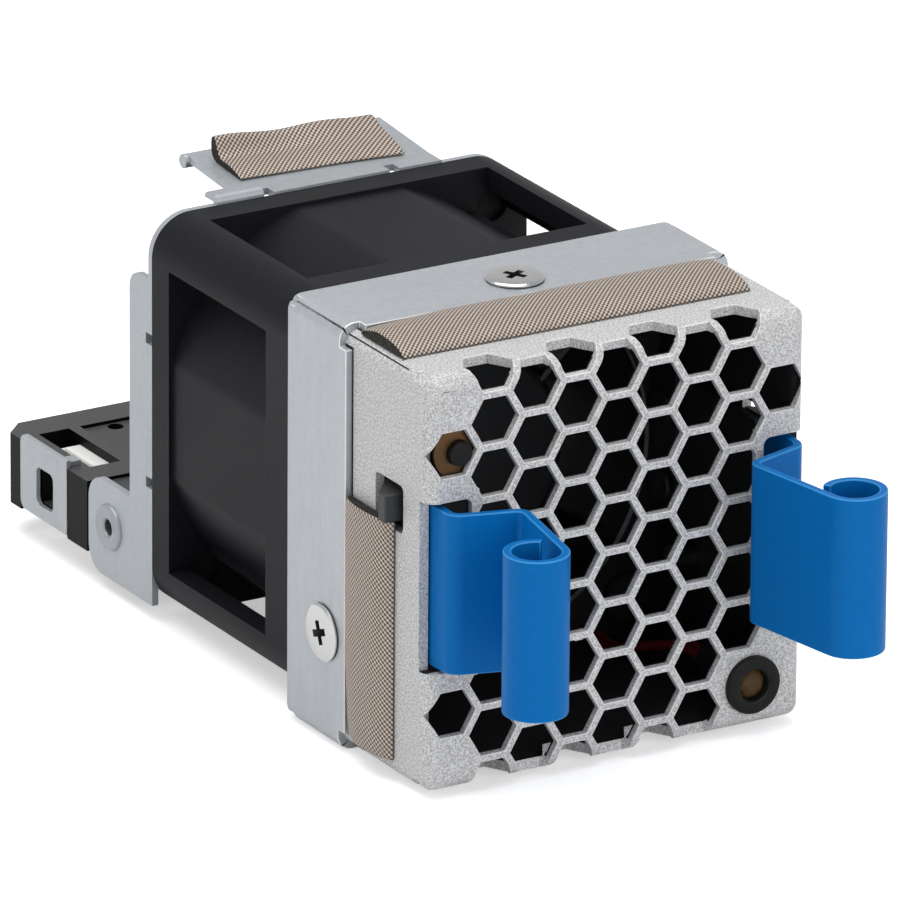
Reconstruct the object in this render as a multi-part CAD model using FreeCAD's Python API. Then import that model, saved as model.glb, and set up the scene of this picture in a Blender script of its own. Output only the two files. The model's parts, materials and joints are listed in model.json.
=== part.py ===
import FreeCAD, Part
import math
import os
from FreeCAD import Vector

# Fan tray for a one-unit rack machine. Millimetres.
# The model is built about the fan's axis: X to the right, Y from the honeycomb face to the back, Z up.
# Each piece is then moved so that the origin is the middle of the tray's bottom seat.

os.makedirs("parts", exist_ok=True)

# Fan housing
fan_size = 40.0
fan_depth = 28.0
fan_corner_r = 4.2
fan_hole_pitch = 32.0
fan_hole_r = 1.75
fan_front_flange = 6.0
fan_rear_flange = 3.3
fan_column = 4.5
duct_rim = 1.1
duct_skin = 1.5
duct_side_step = 0.4
strut_w = 1.7
strut_depth = 3.0
lead_strut_w = 6.0

# Painted cap with the honeycomb face
cap_w = 41.4
cap_h = 41.6
cap_t = 1.0
cap_depth = 25.0
cap_bend_r = 1.5
cap_corner_r = 1.2
grille_rim = 4.2
corner_slit = 0.5
slit_front = 0.6
slit_back = 2.9
slit_reach = 1.2
hex_pitch = 5.2
hex_web = 0.7
neutral_share = 0.4
punch_over = 0.5

# Slots for the handles and windows for the latch tabs
slot_reach = 4.7
slot_room_low = 0.5
slot_room_high = 0.55
slot_back = 1.7
slot_frame = 0.8
window_front = 4.7
window_back = 9.9
window_below = 3.85
window_above = 0.95

# Plated pan between cap and fan
pan_t = 0.7
pan_reach = 11.5
pan_gap = 0.1
pan_bend_r = 0.9
pan_corner_r = 1.6
pan_relief = 0.9
throat_lip = 0.3

# Flat-head screws of the pan
screw_head_r = 2.85
screw_head_h = 0.25
screw_r = 1.45
screw_len = 4.2
screw_from_front = 4.0
top_screw_x = -0.6
side_screw_below = 2.05

# Shielding strips
gasket_h = 1.15
gasket_front = 6.0
gasket_skin = 0.22
gasket_clear = 0.25
top_gasket_left = -20.0
top_gasket_right = 18.0
side_gasket_low = -19.2
side_gasket_gap = 0.3
rear_gasket_left = -8.0
rear_gasket_right = 10.0
rear_foam_share = 0.8
rear_leaf = ((3.3, 0.1), (7.0, 1.3), (9.2, 3.0), (9.8, 2.5), (9.5, 1.3), (8.9, 0.55))

# Handles
strip_t = 0.8
strip_h = 16.0
strip_z = -0.25
leg_gap = 0.2
pivot_y = 20.0
pivot_gap = 0.3
leg_bend_r = 1.3
plate_run = 5.0
plate_lean = 16.5
plate_start_y = -0.7
inner_bend_r = 1.0
flange_lean = 10.0
flange_run_left = 9.6
flange_run_right = 10.4
roll_r = 2.75
roll_turn = 300.0
tab_out = 1.6
tab_front = 5.4
tab_flat = 1.2
tab_back = 9.3
tab_h = 2.8
tab_above = 0.15
tab_heel = 0.5
root_len = 4.4
rivet_r = 1.0
rivet_head_h = 0.6

# Status lamp and spare insert
lamp_from_side = 5.7
lamp_from_bottom = 4.4
bezel_r = 2.9
bezel_h = 0.6
bezel_bore_r = 1.25
bezel_barrel_r = 2.1
lamp_depth = 7.0
nut_r = 3.25
nut_t = 2.0
spare_from_side = 3.7
spare_from_top = 8.05
spare_r = 2.6
spare_t = 1.4
spare_len = 5.0
spare_wall = 0.8
plug_r = 1.2
plug_set_back = 0.3

# Rotor and stator
hub_r = 10.9
hub_t = 1.1
hub_front = 1.6
hub_len = 19.5
blade_count = 5
blade_tip_gap = 0.6
blade_t = 0.9
blade_front = 2.4
blade_len = 18.0
blade_sweep_root = 3.6
blade_sweep_tip = 7.6
yoke_t = 0.6
magnet_t = 1.0
air_gap = 0.4
shaft_r = 1.0
shaft_len = 13.4
shaft_fit = 0.04
boss_wall = 1.3
bearing_r = 2.5
bearing_w = 2.3
tube_t = 0.7
stator_len = 6.0
pole_count = 4
base_r = 11.0
base_t = 2.0
board_t = 0.8
tube_front = 5.6
stator_front = 10.0

# Short screws that hold the pan and the rear bracket to the fan
frame_head_r = 2.5
frame_head_h = 1.0
front_screw_bite = 4.6
rear_screw_bite = 2.7

# Rear bracket
bracket_t = 0.7
arm_depth = 4.4
arm_top = 13.5
ear_len = 12.6
ear_top = -10.1
ear_r = 2.6
tongue_left = -9.5
tongue_right = 12.3
tongue_len = 11.9
tongue_rise = 0.25
tongue_step = 2.4
tongue_lean = 4.5
hem_r = 0.7
lip_left = -12.8
lip_right = -7.6
lip_rise = 0.6
lip_len = 2.4
catch_w = 1.1
catch_depth = 1.4
catch_x = (-7.0, 7.0)
notch_h = 1.1
notch_depth = 1.2
notch_z = 7.4
ear_rivet_y = 8.4
ear_rivet_z = -14.6
ear_rivet_head_r = 2.35
ear_rivet_hole_r = 0.8
ear_rivet_head_h = 0.45

# Rear block
block_top = -11.3
block_low = -18.6
block_front = 4.4
block_wide_front = 12.9
block_back = 30.4
block_chamfer = 2.0
deck_t = 1.0
deck_edge = 1.2
deck_drop = 0.35
deck_hole_x = -9.7
deck_hole_y = 25.6
deck_hole_r = 0.8
wall_t = 1.3
slot_x0 = -17.8
slot_x1 = -14.4
slot_y0 = 16.2
slot_y1 = 26.6
plug_w = 9.0
plug_len = 8.2
plug_clear = 0.4
clip_t = 0.5
clip_y0 = 16.9
clip_y1 = 26.2
clip_low = -18.3
clip_high = -10.5
clip_window_w = 3.4
clip_window_h = 3.9
clip_window_y = 2.7
clip_stand = 0.1
hook_set_in = 0.3
hook_w = 1.6
hook_len = 1.8
hook_h = 0.5
insert_x0 = -8.0
insert_x1 = 14.0
insert_len = 8.0
insert_mouth = 5.2
contact_count = 8
contact_pitch = 2.2
contact_w = 1.0
contact_len = 3.9
contact_t = 0.2
contact_set_back = 1.3
contact_tongue_t = 0.9

# Wires
lead_r = 0.45
lead_count = 4
lead_step = 1.1
lead_clear = 0.35
lamp_lead_x = 11.8
lamp_lead_up = 1.0
lamp_lead_over = 0.8

# Worked-out places
cap_x = cap_w / 2
cap_z = cap_h / 2
pan_x = cap_x + pan_t
pan_z = cap_z + pan_t
pan_plate_y = cap_depth + pan_gap
fan_front_y = pan_plate_y + pan_t
pan_front_y = fan_front_y - pan_reach
fan_back_y = fan_front_y + fan_depth
fan_half = fan_size / 2
bracket_back_y = fan_back_y + bracket_t
seat_y = (pan_front_y + pan_plate_y) / 2
hole_half = fan_hole_pitch / 2
duct_inner_r = fan_half - duct_rim
duct_outer_r = duct_inner_r + duct_skin
throat_r = duct_inner_r - throat_lip
wall_in_x = cap_x - cap_t
leg_x = wall_in_x - leg_gap - strip_t / 2
strip_low = strip_z - strip_h / 2
strip_high = strip_z + strip_h / 2
slot_in = cap_x - slot_reach
slot_low = strip_low - slot_room_low
slot_high = strip_high + slot_room_high
window_low = strip_high - window_below
window_high = strip_high + window_above
tab_high = strip_high + tab_above
tab_low = tab_high - tab_h
side_gasket_high = tab_low - side_gasket_gap
side_screw_z = strip_low - side_screw_below
lamp_x = cap_x - lamp_from_side
lamp_z = lamp_from_bottom - cap_z
spare_x = spare_from_side - cap_x
spare_z = cap_z - spare_from_top
lamp_lead_z = lamp_lead_up - fan_half
cap_lead_z = cap_t + lamp_lead_over - cap_z
pan_screw_y = pan_front_y + screw_from_front
ORIGIN_SHIFT = Vector(0, -seat_y, pan_z)
UP = Vector(0, 0, 1)
BACK = Vector(0, 1, 0)
RIGHT = Vector(1, 0, 0)
TINY = 0.01


def save(name, shape):
    """Move a finished piece into the part's frame and write it out."""
    placed = shape.copy()
    placed.translate(ORIGIN_SHIFT)
    placed.exportStep("parts/" + name + ".step")
    print(name, "solids", len(placed.Solids), "valid", placed.isValid(), "volume", round(placed.Volume, 2))


def box(x0, x1, y0, y1, z0, z1):
    return Part.makeBox(x1 - x0, y1 - y0, z1 - z0, Vector(x0, y0, z0))


def rod_y(x, z, radius, y0, y1):
    return Part.makeCylinder(radius, y1 - y0, Vector(x, y0, z), BACK)


def rod_x(y, z, radius, x0, x1):
    return Part.makeCylinder(radius, x1 - x0, Vector(x0, y, z), RIGHT)


def rod_z(x, y, radius, z0, z1):
    return Part.makeCylinder(radius, z1 - z0, Vector(x, y, z0), UP)


def tube_y(x, z, outer, inner, y0, y1):
    return rod_y(x, z, outer, y0, y1).cut(rod_y(x, z, inner, y0 - 1, y1 + 1))


def mirrored(shape):
    return shape.mirror(Vector(0, 0, 0), RIGHT)


def joined(shapes):
    whole = shapes[0]
    if len(shapes) > 1:
        whole = whole.fuse(shapes[1:])
    return whole.removeSplitter()


def edges_along(shape, direction, keep):
    """Straight edges parallel to a direction whose middle passes the test keep(x, y, z)."""
    found = []
    for edge in shape.Edges:
        ends = [v.Point for v in edge.Vertexes]
        if len(ends) != 2:
            continue
        run = ends[1] - ends[0]
        if run.Length < TINY or abs(abs(run.normalize().dot(direction)) - 1) > 1e-6:
            continue
        middle = (ends[0] + ends[1]) * 0.5
        if keep(middle.x, middle.y, middle.z):
            found.append(edge)
    return found


def rounded(shape, radius, direction, keep):
    return shape.makeFillet(radius, edges_along(shape, direction, keep))


def slab(points, direction):
    """A flat outline of corner points, pushed along a direction."""
    corners = [Vector(*p) for p in points]
    return Part.Face(Part.makePolygon(corners + [corners[0]])).extrude(direction)


def hexagon(centre, across, u, v, depth):
    """A prism with two corners on the u axis, pushed along depth."""
    corner_r = across / math.sqrt(3)
    corners = []
    for k in range(6):
        a = math.radians(60 * k)
        corners.append(centre + u * (corner_r * math.cos(a)) + v * (corner_r * math.sin(a)))
    return Part.Face(Part.makePolygon(corners + [corners[0]])).extrude(depth)


def bent_strip(start, heading, moves, thick, width):
    """A strip seen on edge in the XY plane, made of straight runs and bends, pushed up by its width."""
    here = Vector(start[0], start[1], 0)
    angle = math.radians(heading)
    half = thick / 2
    first_side = []
    other_side = []
    for move in moves:
        ahead = Vector(math.cos(angle), math.sin(angle), 0)
        left = Vector(-math.sin(angle), math.cos(angle), 0)
        if move[0] == "run":
            there = here + ahead * move[1]
            first_side.append(Part.LineSegment(here + left * half, there + left * half).toShape())
            other_side.append(Part.LineSegment(here - left * half, there - left * half).toShape())
            here = there
            continue
        sense = 1 if move[2] > 0 else -1
        turn = math.radians(move[2])
        centre = here + left * (move[1] * sense)
        spoke = (here - centre).normalize()

        def on_bend(share, radius):
            a = turn * share
            turned = Vector(spoke.x * math.cos(a) - spoke.y * math.sin(a),
                            spoke.x * math.sin(a) + spoke.y * math.cos(a), 0)
            return centre + turned * radius

        near = move[1] - sense * half
        far = move[1] + sense * half
        first_side.append(Part.Arc(on_bend(0, near), on_bend(0.5, near), on_bend(1, near)).toShape())
        other_side.append(Part.Arc(on_bend(0, far), on_bend(0.5, far), on_bend(1, far)).toShape())
        here = on_bend(1, move[1])
        angle += turn
    left = Vector(-math.sin(angle), math.cos(angle), 0)
    end_cap = Part.LineSegment(here + left * half, here - left * half).toShape()
    a = math.radians(heading)
    left = Vector(-math.sin(a), math.cos(a), 0)
    begin = Vector(start[0], start[1], 0)
    start_cap = Part.LineSegment(begin + left * half, begin - left * half).toShape()
    loop = Part.Wire(Part.__sortEdges__(first_side + [end_cap] + other_side + [start_cap]))
    return Part.Face(loop).extrude(Vector(0, 0, width))


def mitre_side(corner, normal, inside, radius):
    """The half of space on one side of a corner's mitre plane."""
    plate = Part.Face(Part.Wire(Part.makeCircle(radius * 9, corner, normal)))
    return plate.makeHalfSpace(inside)


def round_wire(points, radius):
    """A round lead of straight runs with mitred corners."""
    corners = [Vector(*p) for p in points]
    headings = [(there - here).normalize() for here, there in zip(corners, corners[1:])]
    last = len(headings) - 1
    runs = []
    for k, ahead in enumerate(headings):
        start = corners[k] - ahead * (2 * radius if k > 0 else 0)
        stop = corners[k + 1] + ahead * (2 * radius if k < last else 0)
        middle = (corners[k] + corners[k + 1]) * 0.5
        run = Part.makeCylinder(radius, (stop - start).Length, start, ahead)
        if k > 0:
            run = run.common(mitre_side(corners[k], headings[k - 1] + ahead, middle, radius))
        if k < last:
            run = run.common(mitre_side(corners[k + 1], ahead + headings[k + 1], middle, radius))
        runs.append(run)
    return joined(runs)


def wrapped_hexagon(x, z, across):
    """A punch for a hexagon that runs over the top or bottom bend, its walls square to the sheet."""
    sense = 1 if z > 0 else -1
    neutral_r = cap_bend_r - (1 - neutral_share) * cap_t
    bend_start = cap_z - cap_bend_r
    bend_run = neutral_r * math.pi / 2
    middle = abs(z)
    low = middle - across / 2
    high = middle + across / 2
    bend_marks = [bend_start, bend_start + bend_run / 2, bend_start + bend_run]
    marks = sorted([low, middle, high] + [m for m in bend_marks if low + TINY < m < high - TINY])
    sections = []
    for mark in marks:
        half = (across - abs(mark - middle)) / math.sqrt(3)
        turn = min(max((mark - bend_start) / neutral_r, 0), math.pi / 2)
        on_face = min(mark - bend_start, 0)
        on_flange = max(mark - bend_start - bend_run, 0)
        spoke = Vector(0, -math.cos(turn), math.sin(turn) * sense)
        hub = Vector(x, cap_bend_r + on_flange, sense * (bend_start + on_face))
        near = hub + spoke * ((cap_bend_r - cap_t) * neutral_share)
        far = hub + spoke * (cap_bend_r + punch_over)
        side = RIGHT * half
        sections.append(Part.makePolygon([far + side, far - side, near - side, near + side, far + side]))
    return Part.makeLoft(sections, True, True)


def honeycomb_cuts():
    """The punched field: columns half a pitch out of step, wrapped over the top and bottom bends."""
    across = hex_pitch - hex_web
    column_step = hex_pitch * math.sqrt(3) / 2
    cuts = []
    for column in range(-4, 5):
        x = column * column_step
        odd = column % 2 == 1
        rows = range(-4, 5) if odd else range(-4, 4)
        for row in rows:
            z = row * hex_pitch if odd else (row + 0.5) * hex_pitch
            outer = abs(column) == 4
            if outer and abs(abs(z) - 2.5 * hex_pitch) > TINY:
                continue
            if outer and x > 0 and z < 0:
                continue
            near_lamp = math.hypot(x - lamp_x, z - lamp_z) < bezel_r + across / 2
            if near_lamp:
                continue
            if abs(z) + across / 2 < cap_z - cap_bend_r:
                start = Vector(x, -punch_over, z)
                cuts.append(hexagon(start, across, RIGHT, UP, BACK * (cap_bend_r + punch_over)))
                continue
            if abs(z) > cap_z - TINY and z < 0 and x > lamp_x - bezel_r - across:
                continue
            cuts.append(wrapped_hexagon(x, z, across))
    return cuts


def slot_cuts():
    reach = cap_x + 1
    slot = box(slot_in, reach, -1, slot_back, slot_low, slot_high)
    slot = rounded(slot, 0.8, BACK, lambda x, y, z: x < reach - TINY)
    return [slot, mirrored(slot)]


def window_cuts():
    window = box(wall_in_x - 1, cap_x + 1, window_front, window_back, window_low, window_high)
    window = rounded(window, 0.6, RIGHT, lambda x, y, z: True)
    return [window, mirrored(window)]


def lamp_hole():
    return rod_y(lamp_x, lamp_z, bezel_barrel_r + 0.05, -1, cap_t + 1)


def corner_slits():
    slits = []
    for sx in (-1, 1):
        for sz in (-1, 1):
            half = corner_slit / 2
            slit = box(-half, half, slit_front, slit_back, -slit_reach, slit_reach)
            slit.rotate(Vector(0, 0, 0), BACK, -45 * sx * sz)
            slit.translate(Vector(sx * (cap_x - 0.3), 0, sz * (cap_z - 0.3)))
            slits.append(slit)
    return slits


def cap_shell():
    outer = box(-cap_x, cap_x, 0, cap_depth, -cap_z, cap_z)
    outer = rounded(outer, cap_corner_r, BACK, lambda x, y, z: True)
    front = [e for e in outer.Edges if e.BoundBox.YMax < TINY]
    outer = outer.makeFillet(cap_bend_r, front)
    inner_r = cap_bend_r - cap_t
    inner = box(-wall_in_x, wall_in_x, cap_t, cap_depth + 1, -cap_z + cap_t, cap_z - cap_t)
    front = [e for e in inner.Edges if e.BoundBox.YMax < cap_t + TINY]
    inner = inner.makeFillet(inner_r, front)
    return outer.cut(inner)


def cap_pieces():
    shell = cap_shell()
    shell = shell.cut(slot_cuts() + window_cuts() + corner_slits() + [lamp_hole()])
    holes = honeycomb_cuts()
    guard = []
    for sx in (-1, 1):
        edge = slot_in - slot_frame
        x0, x1 = sorted((sx * edge, sx * (cap_x + 2)))
        guard.append(box(x0, x1, -2, cap_bend_r + 1, slot_low - slot_frame, slot_high + slot_frame))
    field = Part.makeCompound(holes).cut(guard)
    shell = shell.cut(field)
    side_screw = rod_x(pan_screw_y, side_screw_z, screw_r, -cap_x - 1, cap_x + 1)
    top_screw = rod_z(top_screw_x, pan_screw_y, screw_r, cap_z - 2, cap_z + 1)
    root_rivets = rivet_rods(rivet_r, cap_x + 1)
    seats = [countersink(place, outward) for place, outward in pan_screw_places()]
    shell = shell.cut([side_screw, top_screw] + seats + root_rivets)
    zone = box(-cap_x - 1, cap_x + 1, -1, grille_rim, -cap_z - 1, cap_z + 1)
    return shell.common(zone), shell.cut(zone)


def countersink(axis_point, outward):
    """The cone under a flat head, its wide end on the pan's outer face."""
    depth = screw_head_r - screw_r
    return Part.makeCone(screw_head_r, screw_r, depth, axis_point, outward * -1)


def pan_screw_places():
    return [
        (Vector(top_screw_x, pan_screw_y, pan_z), UP),
        (Vector(-pan_x, pan_screw_y, side_screw_z), RIGHT * -1),
        (Vector(pan_x, pan_screw_y, side_screw_z), RIGHT),
    ]


def fan_pan():
    outer = box(-pan_x, pan_x, pan_front_y, fan_front_y, -pan_z, pan_z)
    outer = rounded(outer, pan_corner_r, BACK, lambda x, y, z: True)
    rear = [e for e in outer.Edges if e.BoundBox.YMin > fan_front_y - TINY]
    outer = outer.makeFillet(pan_bend_r, rear)
    inner = box(-cap_x, cap_x, pan_front_y - 1, pan_plate_y, -cap_z, cap_z)
    inner = rounded(inner, cap_corner_r, BACK, lambda x, y, z: True)
    cuts = [inner, rod_y(0, 0, throat_r, pan_plate_y - 1, fan_front_y + 1)]
    for sx in (-1, 1):
        for sz in (-1, 1):
            cuts.append(rod_y(sx * hole_half, sz * hole_half, fan_hole_r, pan_plate_y - 1, fan_front_y + 1))
            trim = pan_corner_r + 0.6
            corner = box(-trim, trim, pan_front_y - 1, pan_front_y + 1.2, -trim, trim)
            corner.translate(Vector(sx * pan_x, 0, sz * pan_z))
            cuts.append(corner)
            reach = pan_relief
            relief = box(-reach, reach, pan_plate_y - reach, fan_front_y + 1, -reach, reach)
            relief.translate(Vector(sx * pan_x, 0, sz * pan_z))
            cuts.append(relief)
    cuts.append(lead_window(pan_plate_y - 1, fan_front_y + 1))
    for place, outward in pan_screw_places():
        cuts.append(countersink(place, outward))
        cuts.append(Part.makeCylinder(screw_r, 3, place, outward * -1))
    return outer.cut(cuts)


def pan_screws():
    screws = []
    for place, outward in pan_screw_places():
        shank = Part.makeCylinder(screw_r, screw_len, place, outward * -1)
        head = Part.makeCone(screw_head_r, screw_head_r - screw_head_h, screw_head_h, place, outward)
        screws.append(joined([shank, countersink(place, outward), head]))
    return Part.makeCompound(screws)


def gasket_profile(front, back, height, inset):
    """Outline of the bulging strip across its length: (distance, height) points and a spline over the top."""
    low = inset
    a = front + inset
    b = back - inset
    span = b - a
    top = height - inset
    crown = [(a, low), (a + span * 0.12, low + (top - low) * 0.5), (a + span * 0.4, top * 0.96),
             (a + span * 0.72, top), (b, low + (top - low) * 0.55), (b, low)]
    return crown


def gasket_solid(front, back, height, inset, place, length, along):
    outline = [place(*p) for p in gasket_profile(front, back, height, inset)]
    curve = Part.BSplineCurve()
    curve.interpolate(outline[:5])
    edges = [curve.toShape(), Part.LineSegment(outline[4], outline[5]).toShape(),
             Part.LineSegment(outline[5], outline[0]).toShape()]
    return Part.Face(Part.Wire(edges)).extrude(along * length)


def strip_gasket(place, length, along):
    back = pan_front_y - gasket_clear
    skin = gasket_solid(gasket_front, back, gasket_h, 0, place, length, along)
    core = gasket_solid(gasket_front, back, gasket_h, gasket_skin, place, length, along)
    return skin.cut(core), core


def top_gasket():
    def place(y, h):
        return Vector(top_gasket_left, y, cap_z + h)

    return strip_gasket(place, top_gasket_right - top_gasket_left, RIGHT)


def side_gasket():
    def place(y, h):
        return Vector(-cap_x - h, y, side_gasket_low)

    return strip_gasket(place, side_gasket_high - side_gasket_low, UP)


def rear_gasket():
    """A leaf of covered foam that lies on the tongue and stands up at its back edge."""
    foot = fan_half + tongue_rise
    mid_y = sum(p[0] for p in rear_leaf) / len(rear_leaf)
    mid_h = sum(p[1] for p in rear_leaf) / len(rear_leaf)

    def leaf(share):
        placed = []
        for y, h in rear_leaf:
            away = mid_y + (y - mid_y) * share
            rise = mid_h + (h - mid_h) * share
            placed.append(Vector(rear_gasket_left, fan_back_y + away, foot + rise))
        front = Part.Arc(placed[0], placed[1], placed[2])
        back = Part.Arc(placed[3], placed[4], placed[5])
        edges = [front.toShape(), Part.LineSegment(placed[2], placed[3]).toShape(), back.toShape(),
                 Part.LineSegment(placed[5], placed[0]).toShape()]
        return Part.Face(Part.Wire(edges)).extrude(RIGHT * (rear_gasket_right - rear_gasket_left))

    core = leaf(rear_foam_share)
    return leaf(1.0).cut(core), core


def handle(flange_run):
    """The left strip: leg, plate, flange and the roll that curls outward."""
    leg_run = pivot_y - pivot_gap - plate_start_y
    moves = [
        ("run", leg_run),
        ("bend", leg_bend_r, 90 - plate_lean),
        ("run", plate_run),
        ("bend", inner_bend_r, -(90 - plate_lean) - flange_lean),
        ("run", flange_run),
        ("bend", roll_r, -roll_turn),
    ]
    strip = bent_strip((-leg_x, pivot_y - pivot_gap), -90, moves, strip_t, strip_h)
    strip.translate(Vector(0, 0, strip_low))
    return strip


def latch_tab():
    outer_x = -(cap_x + tab_out)
    inner_x = -(leg_x + strip_t / 2)
    points = [(inner_x, tab_front, tab_low), (outer_x, tab_front, tab_low),
              (outer_x, tab_front + tab_flat, tab_low), (inner_x - tab_heel, tab_back, tab_low),
              (inner_x, tab_back, tab_low)]
    return slab(points, Vector(0, 0, tab_high - tab_low))


def rivet_rods(radius, reach):
    rods = []
    y = pivot_y + pivot_gap + root_len / 2
    for z in (strip_z - strip_h / 4, strip_z + strip_h / 4):
        rods.append(rod_x(y, z, radius, -reach, -wall_in_x + 3))
        rods.append(rod_x(y, z, radius, wall_in_x - 3, reach))
    return rods


def leaf_root():
    """The clamped end of the spring strip on the inside of the left wall."""
    y0 = pivot_y + pivot_gap
    plate = box(-wall_in_x, -leg_x + strip_t / 2, y0, y0 + root_len, strip_low, strip_high)
    return plate.cut(rivet_rods(rivet_r, cap_x))


def leaf_rivets():
    rivets = []
    y = pivot_y + pivot_gap + root_len / 2
    inside = leg_x - strip_t / 2
    for z in (strip_z - strip_h / 4, strip_z + strip_h / 4):
        shank = rod_x(y, z, rivet_r, -cap_x + 0.1, -inside)
        head = rod_x(y, z, rivet_r * 1.7, -inside, -inside + rivet_head_h)
        rivet = joined([shank, head])
        rivets.append(rivet)
        rivets.append(mirrored(rivet))
    return Part.makeCompound(rivets)


def lamp_bezel():
    ring = rod_y(lamp_x, lamp_z, bezel_r, -bezel_h, 0)
    rim = [e for e in ring.Edges if e.BoundBox.YMax < -bezel_h + TINY]
    ring = ring.makeChamfer(bezel_h * 0.4, rim)
    barrel = rod_y(lamp_x, lamp_z, bezel_barrel_r, 0, lamp_depth)
    return joined([ring, barrel]).cut(rod_y(lamp_x, lamp_z, bezel_bore_r, -2, lamp_depth + 1))


def lamp_lens():
    rod = rod_y(lamp_x, lamp_z, bezel_bore_r, bezel_bore_r * 0.6, lamp_depth)
    dome = Part.makeSphere(bezel_bore_r, Vector(lamp_x, bezel_bore_r * 0.6, lamp_z))
    return joined([rod, dome.common(rod_y(lamp_x, lamp_z, bezel_bore_r, -bezel_bore_r, bezel_bore_r))])


def lamp_nut():
    nut = hexagon(Vector(lamp_x, cap_t, lamp_z), nut_r * math.sqrt(3), RIGHT, UP, Vector(0, nut_t, 0))
    nut = nut.common(rod_y(lamp_x, lamp_z, nut_r, cap_t, cap_t + nut_t))
    return nut.cut(rod_y(lamp_x, lamp_z, bezel_barrel_r, 0, lamp_depth))


def spare_insert():
    nut = rod_y(spare_x, spare_z, spare_r, cap_t, cap_t + spare_t)
    barrel = rod_y(spare_x, spare_z, plug_r + spare_wall, cap_t + spare_t, cap_t + spare_len)
    nut = joined([nut, barrel])
    bore = rod_y(spare_x, spare_z, plug_r, -1, cap_t + spare_len + 1)
    plug = rod_y(spare_x, spare_z, plug_r, plug_set_back, cap_t + spare_len)
    return nut.cut(bore), plug


def lead_window(y0, y1):
    """Where the lamp's wires pass a flange or plate at the bottom of the tray."""
    half = lead_r * 2 + lead_clear
    top = max(lamp_lead_z, cap_lead_z) + lead_r + lead_clear
    return box(lamp_lead_x - half, lamp_lead_x + half, y0, y1, -fan_half - 0.05, top)


def fan_frame():
    block = box(-fan_half, fan_half, fan_front_y, fan_back_y, -fan_half, fan_half)
    block = rounded(block, fan_corner_r, BACK, lambda x, y, z: True)
    y0 = fan_front_y + fan_front_flange
    y1 = fan_back_y - fan_rear_flange
    span = fan_half - fan_column
    side = fan_half - duct_side_step
    duct = rod_y(0, 0, duct_outer_r, y0 - 1, y1 + 1).common(box(-side, side, y0 - 2, y1 + 2, -side, side))
    pocket = box(-fan_half - 1, -span, y0, y1, -span, span)
    pockets = []
    for k in range(4):
        turned = pocket.copy()
        turned.rotate(Vector(0, 0, 0), BACK, 90 * k)
        pockets.append(turned.cut(duct))
    block = block.cut(pockets)
    block = block.cut(rod_y(0, 0, duct_inner_r, fan_front_y - 1, fan_back_y + 1))
    holes = []
    for sx in (-1, 1):
        for sz in (-1, 1):
            holes.append(rod_y(sx * hole_half, sz * hole_half, fan_hole_r, fan_front_y - 1, fan_back_y + 1))
    holes.append(lead_window(fan_front_y - 1, y0 + 1))
    holes.append(lead_window(y1 - 1, fan_back_y + 1))
    block = block.cut(holes)
    base_y = fan_back_y - base_t
    parts = [block, rod_y(0, 0, base_r, base_y, fan_back_y)]
    for k in range(4):
        w = lead_strut_w if k == 0 else strut_w
        strut = box(-w / 2, w / 2, fan_back_y - strut_depth, fan_back_y, base_r - 1.5, duct_inner_r + 0.5)
        strut.rotate(Vector(0, 0, 0), BACK, 225 - 90 * k)
        parts.append(strut)
    frame = joined(parts)
    channel_w = lead_step * (lead_count - 1) + lead_r * 2 + lead_clear
    channel = box(-channel_w / 2, channel_w / 2, fan_back_y - strut_depth + 0.8, fan_back_y + 1,
                  base_r - 2.0, duct_inner_r - TINY)
    channel.rotate(Vector(0, 0, 0), BACK, 225)
    tube_hole = rod_y(0, 0, bearing_r + tube_t, fan_front_y, fan_back_y + 1)
    return frame.cut([channel, tube_hole])


def impeller():
    y0 = fan_front_y + hub_front
    y1 = y0 + hub_len
    hub = rod_y(0, 0, hub_r, y0, y1)
    front = [e for e in hub.Edges if e.BoundBox.YMax < y0 + TINY]
    hub = hub.makeChamfer(hub_t, front)
    hub = hub.cut(rod_y(0, 0, hub_r - hub_t, y0 + hub_t, y1 + 1))
    boss = rod_y(0, 0, shaft_r + boss_wall, y0 + hub_t - TINY, y0 + hub_t + 2.0)
    hub = joined([hub, boss])
    tip_r = duct_inner_r - blade_tip_gap
    yb = fan_front_y + blade_front
    blades = []
    for k in range(blade_count):
        blade = blade_solid(yb, tip_r)
        blade.rotate(Vector(0, 0, 0), BACK, 360.0 / blade_count * k)
        blades.append(blade)
    whole = joined([hub] + blades)
    return whole.cut(rod_y(0, 0, shaft_r, y0 + 0.6, y1))


def blade_solid(front, tip_r):
    """One twisted blade: a curved section at the hub lofted to a longer, flatter one at the tip."""
    sections = []
    root_z = math.sqrt((hub_r - 0.1) ** 2 - blade_sweep_root ** 2) - 0.2
    for z, sweep, camber in ((root_z, blade_sweep_root, 2.2), (tip_r + 0.5, blade_sweep_tip, 2.6)):
        back = front + blade_len
        middle = (front + back) / 2
        nose = Vector(-sweep, front, z)
        tail = Vector(sweep, back, z)
        bow = Vector(-camber, -camber * 0.4, 0)
        centre = Vector(0, middle, z) + bow
        normal = Vector(blade_t / 2, -blade_t / 4, 0)
        upper = Part.Arc(nose + normal * 0.4, centre + normal, tail + normal * 0.3).toShape()
        lower = Part.Arc(nose - normal * 0.4, centre - normal, tail - normal * 0.3).toShape()
        nose_cap = Part.LineSegment(nose + normal * 0.4, nose - normal * 0.4).toShape()
        tail_cap = Part.LineSegment(tail + normal * 0.3, tail - normal * 0.3).toShape()
        sections.append(Part.Wire(Part.__sortEdges__([upper, tail_cap, lower, nose_cap])))
    blade = Part.makeLoft(sections, True, False)
    return blade.common(rod_y(0, 0, tip_r, front - 2, front + blade_len + 2))


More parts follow.
